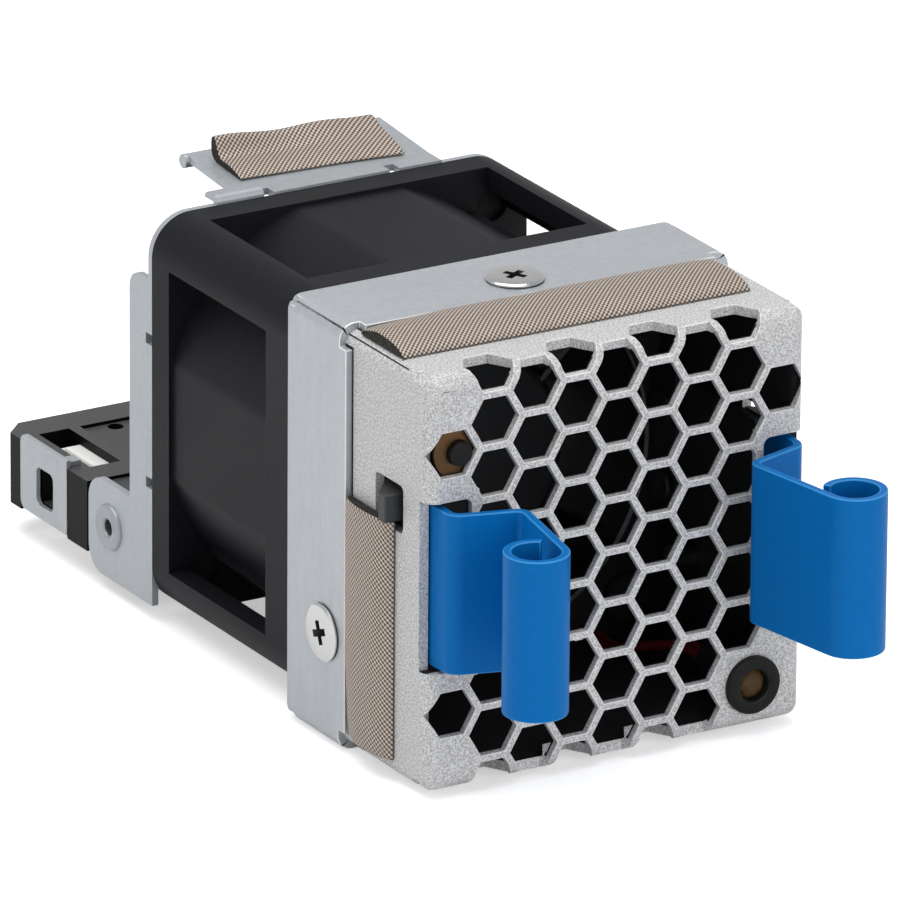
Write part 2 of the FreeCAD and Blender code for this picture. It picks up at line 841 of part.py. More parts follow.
def rotor_inside():
    y0 = fan_front_y + hub_front + hub_t
    y1 = fan_front_y + hub_front + hub_len - 0.8
    outer = hub_r - hub_t
    cup = rod_y(0, 0, outer, y0, y1)
    cup = cup.cut(rod_y(0, 0, outer - yoke_t, y0 + yoke_t, y1 + 1))
    yoke = cup.cut(rod_y(0, 0, shaft_r + boss_wall, y0 - 1, y0 + 2))
    magnet = tube_y(0, 0, outer - yoke_t, outer - yoke_t - magnet_t, y0 + yoke_t + 2.0, y1 - 0.6)
    shaft = rod_y(0, 0, shaft_r, y0 - hub_t + 0.6, fan_front_y + tube_front + shaft_len)
    groove_y = rear_bearing_y() + bearing_w + 0.2
    groove = tube_y(0, 0, shaft_r + 1, shaft_r - 0.2, groove_y, groove_y + 0.5)
    clip = tube_y(0, 0, shaft_r + 0.8, shaft_r - 0.2, groove_y, groove_y + 0.5)
    clip = clip.cut(box(-0.5, 0.5, groove_y - 1, groove_y + 2, 0, 3))
    return yoke, magnet, shaft.cut(groove), clip


def front_bearing_y():
    return fan_front_y + tube_front + 0.3


def rear_bearing_y():
    return fan_front_y + tube_front + 9.5


def bearing(y):
    return tube_y(0, 0, bearing_r, shaft_r + shaft_fit, y, y + bearing_w)


def bearing_tube():
    y0 = fan_front_y + tube_front
    return tube_y(0, 0, bearing_r + tube_t, bearing_r, y0, fan_back_y)


def stator():
    """Laminated core with T-shaped poles, and a winding on each neck."""
    y0 = fan_front_y + stator_front
    y1 = y0 + stator_len
    outer = hub_r - hub_t - yoke_t - magnet_t - air_gap
    inner = bearing_r + tube_t
    core = [tube_y(0, 0, inner + 1.2, inner, y0, y1)]
    coils = []
    shoe = 1.0
    for k in range(pole_count):
        neck = box(-0.9, 0.9, y0, y1, inner + 0.6, outer - 0.4)
        face = tube_y(0, 0, outer, outer - shoe, y0, y1).common(box(-3.9, 3.9, y0, y1, 0, outer + 1))
        coil = box(-2.1, 2.1, y0 - 1.1, y1 + 1.1, inner + 1.5, outer - shoe - 0.5)
        coil = rounded(coil, 0.8, UP, lambda x, y, z: True)
        coil = coil.cut(box(-0.9, 0.9, y0, y1, 0, outer + 1))
        for piece in (neck, face, coil):
            piece.rotate(Vector(0, 0, 0), BACK, 360.0 / pole_count * k)
        core += [neck, face]
        coils.append(coil)
    return joined(core), Part.makeCompound(coils)


def motor_board():
    y1 = fan_back_y - base_t
    board = tube_y(0, 0, base_r - 2.2, bearing_r + tube_t, y1 - board_t, y1)
    chip = box(-5.6, -3.6, y1 - board_t - 0.9, y1 - board_t, -4.4, -1.4)
    return joined([board, chip])


def frame_screws():
    """Four short screws at each end of the fan, through the sheet and into the flange."""
    screws = []
    for sx in (-1, 1):
        for sz in (-1, 1):
            x = sx * hole_half
            z = sz * hole_half
            front = rod_y(x, z, fan_hole_r, pan_plate_y, fan_front_y + front_screw_bite)
            front_head = rod_y(x, z, frame_head_r, pan_plate_y - frame_head_h, pan_plate_y)
            rear = rod_y(x, z, fan_hole_r, fan_back_y - rear_screw_bite, bracket_back_y)
            rear_head = rod_y(x, z, frame_head_r, bracket_back_y, bracket_back_y + frame_head_h)
            screws.append(joined([front, front_head]))
            screws.append(joined([rear, rear_head]))
    return Part.makeCompound(screws)


def rear_bracket():
    """Sheet on the fan's rear face, with arms at both sides, ears below and the tongue on top."""
    plate = box(-fan_half, fan_half, fan_back_y, bracket_back_y, -fan_half, fan_half)
    plate = rounded(plate, fan_corner_r, BACK, lambda x, y, z: True)
    plate = plate.cut(rod_y(0, 0, throat_r, fan_back_y - 1, bracket_back_y + 1))
    arm_y = fan_back_y + arm_depth
    arm = box(-fan_half, -fan_half + bracket_t, fan_back_y, arm_y, -fan_half + fan_corner_r, arm_top)
    arm = rounded(arm, 1.8, RIGHT, lambda x, y, z: y > arm_y - TINY and z > 0)
    ear = box(-fan_half, -fan_half + bracket_t, fan_back_y, fan_back_y + ear_len, -fan_half, ear_top)
    ear = rounded(ear, ear_r, RIGHT, lambda x, y, z: y > fan_back_y + TINY)
    ear = ear.cut(rod_x(fan_back_y + ear_rivet_y, ear_rivet_z, ear_rivet_hole_r + 0.6, -fan_half - 1, 0))
    side = [arm, ear]
    for z in (-notch_z, notch_z):
        notch = box(-fan_half - 1, -fan_half + 2, fan_back_y - 1, fan_back_y + notch_depth,
                    z - notch_h / 2, z + notch_h / 2)
        side = [piece.cut(notch) for piece in side]
        plate = plate.cut([notch, mirrored(notch)])
    top = fan_half + tongue_rise
    shelf = box(tongue_left, tongue_right, fan_back_y, fan_back_y + tongue_step, top - bracket_t, top)
    tongue_y = fan_back_y + tongue_len
    tongue = box(tongue_left, tongue_right, fan_back_y + tongue_step - 0.1, tongue_y, top - bracket_t, top)
    hem = rod_x(tongue_y, top - hem_r, hem_r, tongue_left - hem_r / 2, tongue_right)
    for piece in (tongue, hem):
        piece.rotate(Vector(0, fan_back_y + tongue_step, top), RIGHT, tongue_lean)
    lip_top = top + lip_rise
    lip = box(lip_left, lip_right, fan_back_y, fan_back_y + lip_len, fan_half - bracket_t, lip_top)
    lip = rounded(lip, bracket_t, RIGHT, lambda x, y, z: z > lip_top - TINY)
    hollow = box(lip_left - 1, lip_right + 1, bracket_back_y, fan_back_y + lip_len + 1,
                 0, lip_top - bracket_t)
    lip = lip.cut(hollow)
    body = joined([plate, shelf, lip, tongue, hem] + side + [mirrored(s) for s in side])
    cuts = [lead_window(fan_back_y - 1, bracket_back_y + 1)]
    for x in catch_x:
        cuts.append(box(x - catch_w / 2, x + catch_w / 2, fan_back_y - 1, fan_back_y + catch_depth,
                        top - catch_depth, lip_top + 1))
    for sx in (-1, 1):
        for sz in (-1, 1):
            cuts.append(rod_y(sx * hole_half, sz * hole_half, fan_hole_r, fan_back_y - 1, bracket_back_y + 1))
    return body.cut(cuts)


def ear_rivets():
    y = fan_back_y + ear_rivet_y
    inner = -fan_half + bracket_t
    shank = rod_x(y, ear_rivet_z, ear_rivet_hole_r + 0.6, -fan_half, inner + 2.0)
    head = Part.makeCone(ear_rivet_head_r - ear_rivet_head_h / 2, ear_rivet_head_r, ear_rivet_head_h,
                         Vector(-fan_half - ear_rivet_head_h, y, ear_rivet_z), RIGHT)
    rivet = joined([shank, head])
    rivet = rivet.cut(rod_x(y, ear_rivet_z, ear_rivet_hole_r, -fan_half - 2, inner + 1.2))
    dish = Part.makeCone(ear_rivet_hole_r + 0.9, ear_rivet_hole_r, 0.4,
                         Vector(-fan_half - ear_rivet_head_h, y, ear_rivet_z), RIGHT)
    rivet = rivet.cut(dish)
    return Part.makeCompound([rivet, mirrored(rivet)])


def connector_housing():
    """Moulded block between the ears, with the deck, the slot and the pockets for the plug and contacts."""
    ear_in = fan_half - bracket_t
    y0 = fan_back_y + block_front
    yw = fan_back_y + block_wide_front
    y1 = fan_back_y + block_back
    wide = box(-fan_half, fan_half, yw, y1, block_low, block_top)
    wide = wide.makeChamfer(block_chamfer, edges_along(wide, UP, lambda x, y, z: y > y1 - TINY))
    narrow = box(-ear_in, ear_in, y0, yw + 1, block_low, block_top - deck_drop)
    block = joined([wide, narrow])
    cuts = []
    rail = box(-fan_half - 1, -fan_half + clip_t + 0.1, fan_back_y + clip_y0, fan_back_y + clip_y1,
               block_low - 1, block_top + 1)
    cuts.append(rail)
    slot = box(slot_x0, slot_x1, fan_back_y + slot_y0, fan_back_y + slot_y1, block_low - 1, block_top + 1)
    cuts.append(slot)
    pocket = box(slot_x0, slot_x0 + plug_w, fan_back_y + slot_y0, fan_back_y + slot_y1, block_low - 1,
                 block_top - deck_t)
    cuts.append(pocket)
    mid_z = (block_top + block_low) / 2
    window_y = fan_back_y + clip_y0 + clip_window_y
    window = box(-fan_half - 1, slot_x0 + 1, window_y, window_y + clip_window_w,
                 mid_z - clip_window_h / 2, mid_z + clip_window_h / 2)
    cuts.append(window)
    lead_w = lead_step * (lead_count - 1) + 2 * (lead_r + lead_clear)
    lead_x = slot_x0 + plug_w / 2
    lead_low = mid_z - lead_r - lead_clear
    lead_high = mid_z + lead_r + lead_clear
    cuts.append(box(lead_x - lead_w / 2, lead_x + lead_w / 2, y0 - 1, fan_back_y + slot_y0 + 1,
                    lead_low, lead_high))
    insert_y = y1 - insert_len
    cuts.append(box(insert_x0, insert_x1, insert_y, y1 + 1, block_low + wall_t, block_top - wall_t))
    half = 2 * lead_r + lead_clear
    cuts.append(box(lamp_lead_x - half, lamp_lead_x + half, y0 - 1, insert_y + 1, lead_low, lead_high))
    cuts.append(rod_z(deck_hole_x, fan_back_y + deck_hole_y, deck_hole_r, block_low - 1, block_top + 1))
    for sx in (-1, 1):
        x0, x1 = sorted((sx * (ear_in + 1), sx * (ear_in - 2.0)))
        cuts.append(rod_x(fan_back_y + ear_rivet_y, ear_rivet_z, ear_rivet_hole_r + 0.6, x0, x1))
    step = box(slot_x1 + deck_edge, fan_half - 2 * deck_edge, fan_back_y + slot_y0 + deck_edge,
               fan_back_y + slot_y1, block_top - deck_drop, block_top + 1)
    cuts.append(step)
    return block.cut(cuts)


def lead_plug():
    y0 = fan_back_y + slot_y0
    top = block_top - deck_t
    body = box(slot_x0, slot_x0 + plug_w, y0, y0 + plug_len, block_low + plug_clear, top)
    rib_x = slot_x0 + plug_w * 0.13
    rib = box(rib_x, rib_x + plug_w * 0.09, y0 + plug_len * 0.1, y0 + plug_len * 0.9, top, top + plug_clear)
    return joined([body, rib])


def side_clip():
    """Plated spring plate on the block's left side, with its square window and hook."""
    y0 = fan_back_y + clip_y0
    y1 = fan_back_y + clip_y1
    x0 = -fan_half - clip_stand
    plate = box(x0, x0 + clip_t, y0, y1, clip_low, clip_high)
    plate = rounded(plate, 1.0, RIGHT, lambda x, y, z: y > y1 - TINY)
    mid_z = (block_top + block_low) / 2
    window = box(x0 - 1, x0 + 2, y0 + clip_window_y, y0 + clip_window_y + clip_window_w,
                 mid_z - clip_window_h / 2, mid_z + clip_window_h / 2)
    window = rounded(window, 0.7, RIGHT, lambda x, y, z: True)
    hook_y = y0 + hook_set_in
    hook = box(x0, x0 + hook_len, hook_y, hook_y + hook_w, block_top, block_top + hook_h)
    return joined([plate.cut(window), hook])


def contact_insert():
    y1 = fan_back_y + block_back
    body = box(insert_x0, insert_x1, y1 - insert_len, y1 - 0.4, block_low + wall_t, block_top - wall_t)
    mouth = box(insert_x0 + 1, insert_x1 - 1, y1 - insert_mouth, y1 + 1, block_low + wall_t + 0.9,
                block_top - wall_t - 0.9)
    half = contact_tongue_t / 2
    tongue = box(insert_x0 + 2, insert_x1 - 2, y1 - insert_mouth - 0.4, y1 - 1.0, -half, half)
    tongue.translate(Vector(0, 0, (block_low + block_top) / 2))
    return joined([body.cut(mouth), tongue])


def rear_contacts():
    """Blades on top of the insert's tongue."""
    y1 = fan_back_y + block_back
    top = (block_low + block_top) / 2 + contact_tongue_t / 2
    back = y1 - contact_set_back
    middle = (insert_x0 + insert_x1) / 2
    blades = []
    for k in range(contact_count):
        x = middle + (k - (contact_count - 1) / 2) * contact_pitch
        half = contact_w / 2
        blades.append(box(x - half, x + half, back - contact_len, back, top, top + contact_t))
    return Part.makeCompound(blades)


def fan_leads():
    """Four wires from the motor's base along the wide strut and into the rear block's plug."""
    leads = []
    mid_z = (block_top + block_low) / 2
    diagonal = math.sqrt(0.5)
    lie_y = fan_back_y - strut_depth + 0.8 + lead_r + 0.1
    out_y = fan_back_y + 1.5
    for k in range(lead_count):
        off = (k - (lead_count - 1) / 2) * lead_step
        start_r = base_r - 1.4
        turn_r = duct_inner_r - lead_r - 0.9
        px = -diagonal * start_r - off * diagonal
        pz = -diagonal * start_r + off * diagonal
        qx = -diagonal * turn_r - off * diagonal
        qz = -diagonal * turn_r + off * diagonal
        end_x = slot_x0 + plug_w / 2 - off
        points = [(px, lie_y, pz), (qx, lie_y, qz), (qx, out_y, qz),
                  (end_x, fan_back_y + block_front - 0.9, mid_z), (end_x, fan_back_y + slot_y0, mid_z)]
        leads.append(round_wire(points, lead_r))
    return Part.makeCompound(leads)


def lamp_leads():
    """Two wires from the lamp along the tray's bottom to the contacts."""
    leads = []
    mid_z = (block_top + block_low) / 2
    for side in (-1, 1):
        off = side * (lead_r + 0.08)
        end_y = fan_back_y + block_back - insert_len
        points = [
            (lamp_x + off, lamp_depth, lamp_z),
            (lamp_x + off, lamp_depth + 5, lamp_z),
            (lamp_lead_x + off, cap_depth - 5, cap_lead_z),
            (lamp_lead_x + off, pan_plate_y, cap_lead_z),
            (lamp_lead_x + off, fan_front_y + fan_front_flange, lamp_lead_z),
            (lamp_lead_x + off, fan_back_y + 1.2, lamp_lead_z),
            (lamp_lead_x + off, fan_back_y + 4.4, mid_z),
            (lamp_lead_x + off, end_y, mid_z),
        ]
        leads.append(round_wire(points, lead_r))
    return Part.makeCompound(leads)


grille, walls = cap_pieces()
save("front_grille", grille)
save("cap_walls", walls)
save("fan_pan", fan_pan())
save("pan_screws", pan_screws())
skin, core = top_gasket()
save("top_gasket", skin)
save("top_gasket_foam", core)
skin, core = side_gasket()
save("side_gasket", skin)
save("side_gasket_foam", core)
skin, core = rear_gasket()
save("rear_gasket", skin)
save("rear_gasket_foam", core)
save("handle_left", handle(flange_run_left))
save("handle_right", mirrored(handle(flange_run_right)))
save("latch_tab_left", latch_tab())
save("latch_tab_right", mirrored(latch_tab()))
save("leaf_root_left", leaf_root())
save("leaf_root_right", mirrored(leaf_root()))
save("leaf_rivets", leaf_rivets())
save("lamp_bezel", lamp_bezel())
save("lamp_lens", lamp_lens())
save("lamp_nut", lamp_nut())
nut, plug = spare_insert()
save("spare_insert_nut", nut)
save("spare_insert_plug", plug)
save("fan_frame", fan_frame())
save("impeller", impeller())
yoke, magnet, shaft, clip = rotor_inside()
save("rotor_yoke", yoke)
save("magnet_ring", magnet)
save("rotor_shaft", shaft)
save("shaft_clip", clip)
save("bearing_tube", bearing_tube())
save("front_bearing", bearing(front_bearing_y()))
save("rear_bearing", bearing(rear_bearing_y()))
core, coils = stator()
save("stator_core", core)
save("stator_coils", coils)
save("motor_board", motor_board())
save("frame_screws", frame_screws())
save("rear_bracket", rear_bracket())
save("ear_rivets", ear_rivets())
save("connector_housing", connector_housing())
save("lead_plug", lead_plug())
save("side_clip", side_clip())
save("contact_insert", contact_insert())
save("rear_contacts", rear_contacts())
save("fan_leads", fan_leads())
save("lamp_leads", lamp_leads())
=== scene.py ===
# %% [markdown]
# A fan tray for a rack machine. The metal and plastic parts come ready shaped as a fixed frame, and this
# lesson gives them soft edges, finishes, cloth, light and a camera. Lengths are written in millimetres,
# as on a workshop drawing, and turned into metres by one factor.

# %% Start
import math
import random

import bmesh
import bpy
from mathutils import Matrix, Vector
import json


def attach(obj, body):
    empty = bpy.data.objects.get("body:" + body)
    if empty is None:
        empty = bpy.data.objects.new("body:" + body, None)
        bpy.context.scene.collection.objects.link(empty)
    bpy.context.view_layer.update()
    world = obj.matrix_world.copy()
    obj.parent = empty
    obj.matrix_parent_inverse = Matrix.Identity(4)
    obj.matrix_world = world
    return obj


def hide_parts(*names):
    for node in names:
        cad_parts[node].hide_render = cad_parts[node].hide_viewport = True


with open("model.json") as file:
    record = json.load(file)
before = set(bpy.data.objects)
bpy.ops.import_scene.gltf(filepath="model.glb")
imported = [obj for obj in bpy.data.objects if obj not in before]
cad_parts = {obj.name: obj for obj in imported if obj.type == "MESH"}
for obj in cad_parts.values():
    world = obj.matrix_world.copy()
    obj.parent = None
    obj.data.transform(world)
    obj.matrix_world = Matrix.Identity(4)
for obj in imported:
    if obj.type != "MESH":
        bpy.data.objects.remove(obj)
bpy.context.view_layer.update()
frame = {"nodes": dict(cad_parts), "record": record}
MM = 0.001
FACE_Y = -19.7
AXIS_Z = 21.5


def at(x, y, z):
    """A place measured from the fan's axis at the honeycomb face, in the part's own frame."""
    return Vector((x, y + FACE_Y, z + AXIS_Z)) * MM


# %% [markdown]
# A finish is easier to judge when each effect has one home. Grain, speckle and weave are built here once
# as node groups that give out only masks, colours and heights, and each material then sets its own amounts.

# %% Helpers for node groups
def new_group(name, inputs, outputs):
    """A node group with its sockets, and its input and output nodes."""
    group = bpy.data.node_groups.new(name, "ShaderNodeTree")
    for label, kind, value in inputs:
        socket = group.interface.new_socket(label, in_out="INPUT", socket_type=kind)
        socket.default_value = value
    for label, kind in outputs:
        group.interface.new_socket(label, in_out="OUTPUT", socket_type=kind)
    start = group.nodes.new("NodeGroupInput")
    end = group.nodes.new("NodeGroupOutput")
    return group, start, end


def add_node(tree, kind, **settings):
    node = tree.nodes.new(kind)
    for key, value in settings.items():
        setattr(node, key, value)
    return node


def maths(tree, operation, first, second=None):
    """One step of arithmetic on masks or plain numbers."""
    node = add_node(tree, "ShaderNodeMath", operation=operation)
    for index, value in enumerate((first, second)):
        if value is None:
            continue
        if isinstance(value, (int, float)):
            node.inputs[index].default_value = value
        else:
            tree.links.new(value, node.inputs[index])
    return node.outputs[0]


# The Mix node keeps its colours on these sockets, after those for numbers and vectors.
MIX_LOW = 6
MIX_HIGH = 7
MIX_RESULT = 2


def mixed(tree, factor, low, high):
    """A colour between two others."""
    node = add_node(tree, "ShaderNodeMix", data_type="RGBA")
    for index, value in ((0, factor), (MIX_LOW, low), (MIX_HIGH, high)):
        if isinstance(value, (tuple, list)):
            node.inputs[index].default_value = (*value[:3], 1.0)
        elif isinstance(value, (int, float)):
            node.inputs[index].default_value = value
        else:
            tree.links.new(value, node.inputs[index])
    return node.outputs[MIX_RESULT]


# %% [markdown]
# Powder coat and moulded plastic share one look: a fine random grain over a slow, faint unevenness.
# Two noises on object coordinates do that, and the grain's height also feeds the bump.

# %% Grain group
def build_grain():
    group, start, end = new_group(
        "fine_grain",
        [("Vector", "NodeSocketVector", (0, 0, 0)), ("Grain per metre", "NodeSocketFloat", 2500.0),
         ("Patch per metre", "NodeSocketFloat", 60.0), ("Sharpness", "NodeSocketFloat", 1.0)],
        [("Grain", "NodeSocketFloat"), ("Patch", "NodeSocketFloat")])
    fine = add_node(group, "ShaderNodeTexNoise")
    fine.inputs["Detail"].default_value = 2.0
    slow = add_node(group, "ShaderNodeTexNoise")
    slow.inputs["Detail"].default_value = 3.0
    group.links.new(start.outputs["Vector"], fine.inputs["Vector"])
    group.links.new(start.outputs["Vector"], slow.inputs["Vector"])
    group.links.new(start.outputs["Grain per metre"], fine.inputs["Scale"])
    group.links.new(start.outputs["Patch per metre"], slow.inputs["Scale"])
    centred = maths(group, "SUBTRACT", fine.outputs["Fac"], 0.5)
    sharper = maths(group, "MULTIPLY", centred, start.outputs["Sharpness"])
    back = maths(group, "ADD", sharper, 0.5)
    clean = add_node(group, "ShaderNodeClamp")
    group.links.new(back, clean.inputs["Value"])
    group.links.new(clean.outputs["Result"], end.inputs["Grain"])
    group.links.new(slow.outputs["Fac"], end.inputs["Patch"])
    return group


fine_grain = build_grain()
print("group", fine_grain.name)


# %% [markdown]
# Zinc plate has a fine even grain and the long, faint scratches of the mill. One noise gives the grain, and
# a second noise that is stretched along one axis gives the scratches.

# %% Plating group
def build_plating():
    group, start, end = new_group(
        "mill_plating",
        [("Vector", "NodeSocketVector", (0, 0, 0)), ("Stretch", "NodeSocketVector", (1, 1, 1)),
         ("Grain per metre", "NodeSocketFloat", 1800.0)],
        [("Grain", "NodeSocketFloat"), ("Scratch", "NodeSocketFloat"), ("Cloud", "NodeSocketFloat")])
    fine = add_node(group, "ShaderNodeTexNoise")
    fine.inputs["Detail"].default_value = 3.0
    group.links.new(start.outputs["Vector"], fine.inputs["Vector"])
    group.links.new(start.outputs["Grain per metre"], fine.inputs["Scale"])
    stretched = add_node(group, "ShaderNodeVectorMath", operation="MULTIPLY")
    group.links.new(start.outputs["Vector"], stretched.inputs[0])
    group.links.new(start.outputs["Stretch"], stretched.inputs[1])
    lines = add_node(group, "ShaderNodeTexNoise")
    lines.inputs["Scale"].default_value = 1400.0
    lines.inputs["Detail"].default_value = 4.0
    group.links.new(stretched.outputs["Vector"], lines.inputs["Vector"])
    cloud = add_node(group, "ShaderNodeTexNoise")
    cloud.inputs["Scale"].default_value = 90.0
    cloud.inputs["Detail"].default_value = 2.0
    group.links.new(start.outputs["Vector"], cloud.inputs["Vector"])
    group.links.new(fine.outputs["Fac"], end.inputs["Grain"])
    group.links.new(lines.outputs["Fac"], end.inputs["Scratch"])
    group.links.new(cloud.outputs["Fac"], end.inputs["Cloud"])
    return group


mill_plating = build_plating()
print("group", mill_plating.name)


# %% [markdown]
# The shielding cloth is a plain weave of round threads. Threads run along u and v of the strip's own UV
# map, in metres. Two cosines multiplied give a crown wherever one thread passes over another, a third adds
# the faint slanting ribs that are seen from afar, and a slow noise keeps the rows from being perfect.

# %% Weave group
THREADS = 3900.0  # per metre, each way
WOBBLE_PER_METRE = 420.0
WOBBLE_TURN = 2.8
CROWN_HEIGHT = 0.36
RIB_HEIGHT = 0.11
WEAR_PER_METRE = 800.0


def build_weave():
    group, start, end = new_group(
        "plain_weave",
        [("Vector", "NodeSocketVector", (0, 0, 0)), ("Threads per metre", "NodeSocketFloat", THREADS)],
        [("Crown", "NodeSocketFloat"), ("Wear", "NodeSocketFloat")])
    wobble = add_node(group, "ShaderNodeTexNoise")
    wobble.inputs["Scale"].default_value = WOBBLE_PER_METRE
    group.links.new(start.outputs["Vector"], wobble.inputs["Vector"])
    bend = maths(group, "MULTIPLY", maths(group, "SUBTRACT", wobble.outputs["Fac"], 0.5), WOBBLE_TURN)
    parts = add_node(group, "ShaderNodeSeparateXYZ")
    group.links.new(start.outputs["Vector"], parts.inputs[0])
    waves = []
    for axis in (0, 1):
        count = maths(group, "MULTIPLY", parts.outputs[axis], start.outputs["Threads per metre"])
        phase = maths(group, "ADD", maths(group, "MULTIPLY", count, math.pi), bend)
        waves.append(maths(group, "COSINE", phase))
    across = maths(group, "SUBTRACT", parts.outputs[0], parts.outputs[1])
    slanting = maths(group, "MULTIPLY", across, start.outputs["Threads per metre"])
    ribs = maths(group, "COSINE", maths(group, "MULTIPLY", slanting, math.pi))
    crossing = maths(group, "MULTIPLY", *waves)
    crown = maths(group, "ADD", maths(group, "MULTIPLY", crossing, CROWN_HEIGHT), 0.5)
    crown = maths(group, "ADD", crown, maths(group, "MULTIPLY", ribs, RIB_HEIGHT))
    cloudy = add_node(group, "ShaderNodeTexNoise")
    cloudy.inputs["Scale"].default_value = WEAR_PER_METRE
    cloudy.inputs["Detail"].default_value = 4.0
    group.links.new(start.outputs["Vector"], cloudy.inputs["Vector"])
    group.links.new(crown, end.inputs["Crown"])
    group.links.new(cloudy.outputs["Fac"], end.inputs["Wear"])
    return group


plain_weave = build_weave()
print("group", plain_weave.name)


# %% [markdown]
# Each finish is a Principled shader. Values that are the same all over the surface sit on the shader's own
# sockets, and only what changes from place to place comes through nodes.

# %% Helpers for materials
PATCH_PER_METRE = 70.0
PATCH_SPREAD = 0.16
SCRATCH_SPREAD = 0.15
PLATING_GRAIN = 1800.0


def principled(name, roughness, metallic=0.0, **sockets):
    """A material with its shader and a node that gives coordinates."""
    material = bpy.data.materials.new(name)
    material.use_nodes = True
    tree = material.node_tree
    shader = next(n for n in tree.nodes if n.type == "BSDF_PRINCIPLED")
    shader.inputs["Roughness"].default_value = roughness
    shader.inputs["Metallic"].default_value = metallic
    for key, value in sockets.items():
        shader.inputs[key.replace("_", " ")].default_value = value
    place = add_node(tree, "ShaderNodeTexCoord")
    return material, tree, shader, place


def use_group(tree, group, vector, **values):
    """Puts a group into a material. An underscore in a value's name stands for a space in the socket's."""
    node = add_node(tree, "ShaderNodeGroup")
    node.node_tree = group
    tree.links.new(vector, node.inputs["Vector"])
    for key, value in values.items():
        node.inputs[key.replace("_", " ")].default_value = value
    return node


def add_bump(tree, shader, height, depth):
    """Turns a height mask into relief, with the depth in millimetres."""
    bump = add_node(tree, "ShaderNodeBump")
    bump.inputs["Distance"].default_value = depth * MM
    bump.inputs["Strength"].default_value = 1.0
    tree.links.new(height, bump.inputs["Height"])
    tree.links.new(bump.outputs["Normal"], shader.inputs["Normal"])


def grained(name, dark, light, roughness, grain, depth, sharpness=1.6, metallic=0.0, **sockets):
    """A coat or moulding: colour, roughness and relief all follow one fine grain."""
    material, tree, shader, place = principled(name, roughness, metallic, **sockets)
    node = use_group(tree, fine_grain, place.outputs["Object"], Grain_per_metre=grain,
                     Patch_per_metre=PATCH_PER_METRE, Sharpness=sharpness)
    tree.links.new(mixed(tree, node.outputs["Grain"], dark, light), shader.inputs["Base Color"])
    uneven = maths(tree, "MULTIPLY", maths(tree, "SUBTRACT", node.outputs["Patch"], 0.5), PATCH_SPREAD)
    tree.links.new(maths(tree, "ADD", uneven, roughness), shader.inputs["Roughness"])
    add_bump(tree, shader, node.outputs["Grain"], depth)
    return material


def plated(name, dark, light, roughness, stretch, metallic=0.9, depth=0.003):
    """Plated or bare metal with a fine grain and the mill's scratches."""
    material, tree, shader, place = principled(name, roughness, metallic)
    node = use_group(tree, mill_plating, place.outputs["Object"], Stretch=stretch,
                     Grain_per_metre=PLATING_GRAIN)
    blend = maths(tree, "ADD", maths(tree, "MULTIPLY", node.outputs["Grain"], 0.35),
                  maths(tree, "MULTIPLY", node.outputs["Scratch"], 0.40))
    blend = maths(tree, "ADD", blend, maths(tree, "MULTIPLY", node.outputs["Cloud"], 0.25))
    tree.links.new(mixed(tree, blend, dark, light), shader.inputs["Base Color"])
    uneven = maths(tree, "MULTIPLY", maths(tree, "SUBTRACT", node.outputs["Scratch"], 0.5), SCRATCH_SPREAD)
    tree.links.new(maths(tree, "ADD", uneven, roughness), shader.inputs["Roughness"])
    add_bump(tree, shader, node.outputs["Scratch"], depth)
    return material


# %% [markdown]
# The cap has a metallic silver coat with a visible speckle. The pan and the rear bracket are bright zinc,
# the handles a smooth blue coat, and the fan a black moulding whose fine texture softens its reflections.
# What lies inside the cap gets a painted shade, almost black, as deep inside a housing. The three rim
# finishes are lighter colours on the narrow edges of the cap, the handles and the pan: painted highlights
# where those edges catch more light.

# %% Finishes
silver_coat = grained("silver_coat", (0.34, 0.34, 0.345), (0.78, 0.78, 0.785), 0.52, 5600.0, 0.020,
                      sharpness=2.8, metallic=0.10)
silver_rim_highlight = grained("silver_rim_highlight", (0.62, 0.62, 0.63), (0.90, 0.90, 0.91), 0.40, 5600.0, 0.010,
                     sharpness=2.0, metallic=0.10)
painted_inner_shade = grained("painted_inner_shade", (0.012, 0.012, 0.013), (0.022, 0.022, 0.024), 0.70, 1800.0, 0.004,
                      sharpness=1.2, Specular_IOR_Level=0.15)
blue_coat = grained("blue_coat", (0.0012, 0.134, 0.425), (0.0018, 0.148, 0.465), 0.36, 1500.0, 0.002,
                    sharpness=1.0, Specular_IOR_Level=0.08)
blue_rim_highlight = grained("blue_rim_highlight", (0.030, 0.255, 0.600), (0.040, 0.280, 0.640), 0.34, 1500.0, 0.002,
                   sharpness=1.0, Specular_IOR_Level=0.20)
zinc = plated("zinc_plate", (0.37, 0.395, 0.42), (0.62, 0.65, 0.68), 0.44, (1.0, 0.6, 0.10),
              metallic=0.55)
# The bracket's zinc is a little darker than the pan's, a painted shade for the rear strip's shadow over its
# tongue.
zinc_bracket = plated("zinc_bracket", (0.345, 0.37, 0.395), (0.57, 0.60, 0.63), 0.44, (1.0, 0.6, 0.10),
                      metallic=0.55)
zinc_rim_highlight = plated("zinc_rim_highlight", (0.80, 0.82, 0.84), (0.90, 0.92, 0.93), 0.36, (1, 1, 1), metallic=0.4)
zinc_side = plated("zinc_clip", (0.33, 0.35, 0.38), (0.46, 0.49, 0.52), 0.45, (1, 1, 0.08),
                   metallic=0.6)
bright_screw = plated("nickel_screw", (0.60, 0.60, 0.60), (0.74, 0.74, 0.74), 0.20, (1, 1, 1),
                      metallic=1.0, depth=0.002)
dark_steel_and_shade = plated("latch_steel", (0.05, 0.051, 0.053), (0.10, 0.103, 0.107), 0.48, (1, 0.1, 1))
spring_steel = plated("spring_steel", (0.05, 0.052, 0.055), (0.10, 0.103, 0.107), 0.50, (1, 0.08, 1))
ground_steel = plated("ground_steel", (0.48, 0.48, 0.49), (0.62, 0.62, 0.63), 0.25, (1, 1, 0.1))
core_steel = plated("core_steel", (0.10, 0.10, 0.11), (0.20, 0.20, 0.21), 0.50, (0.1, 9.0, 0.1))
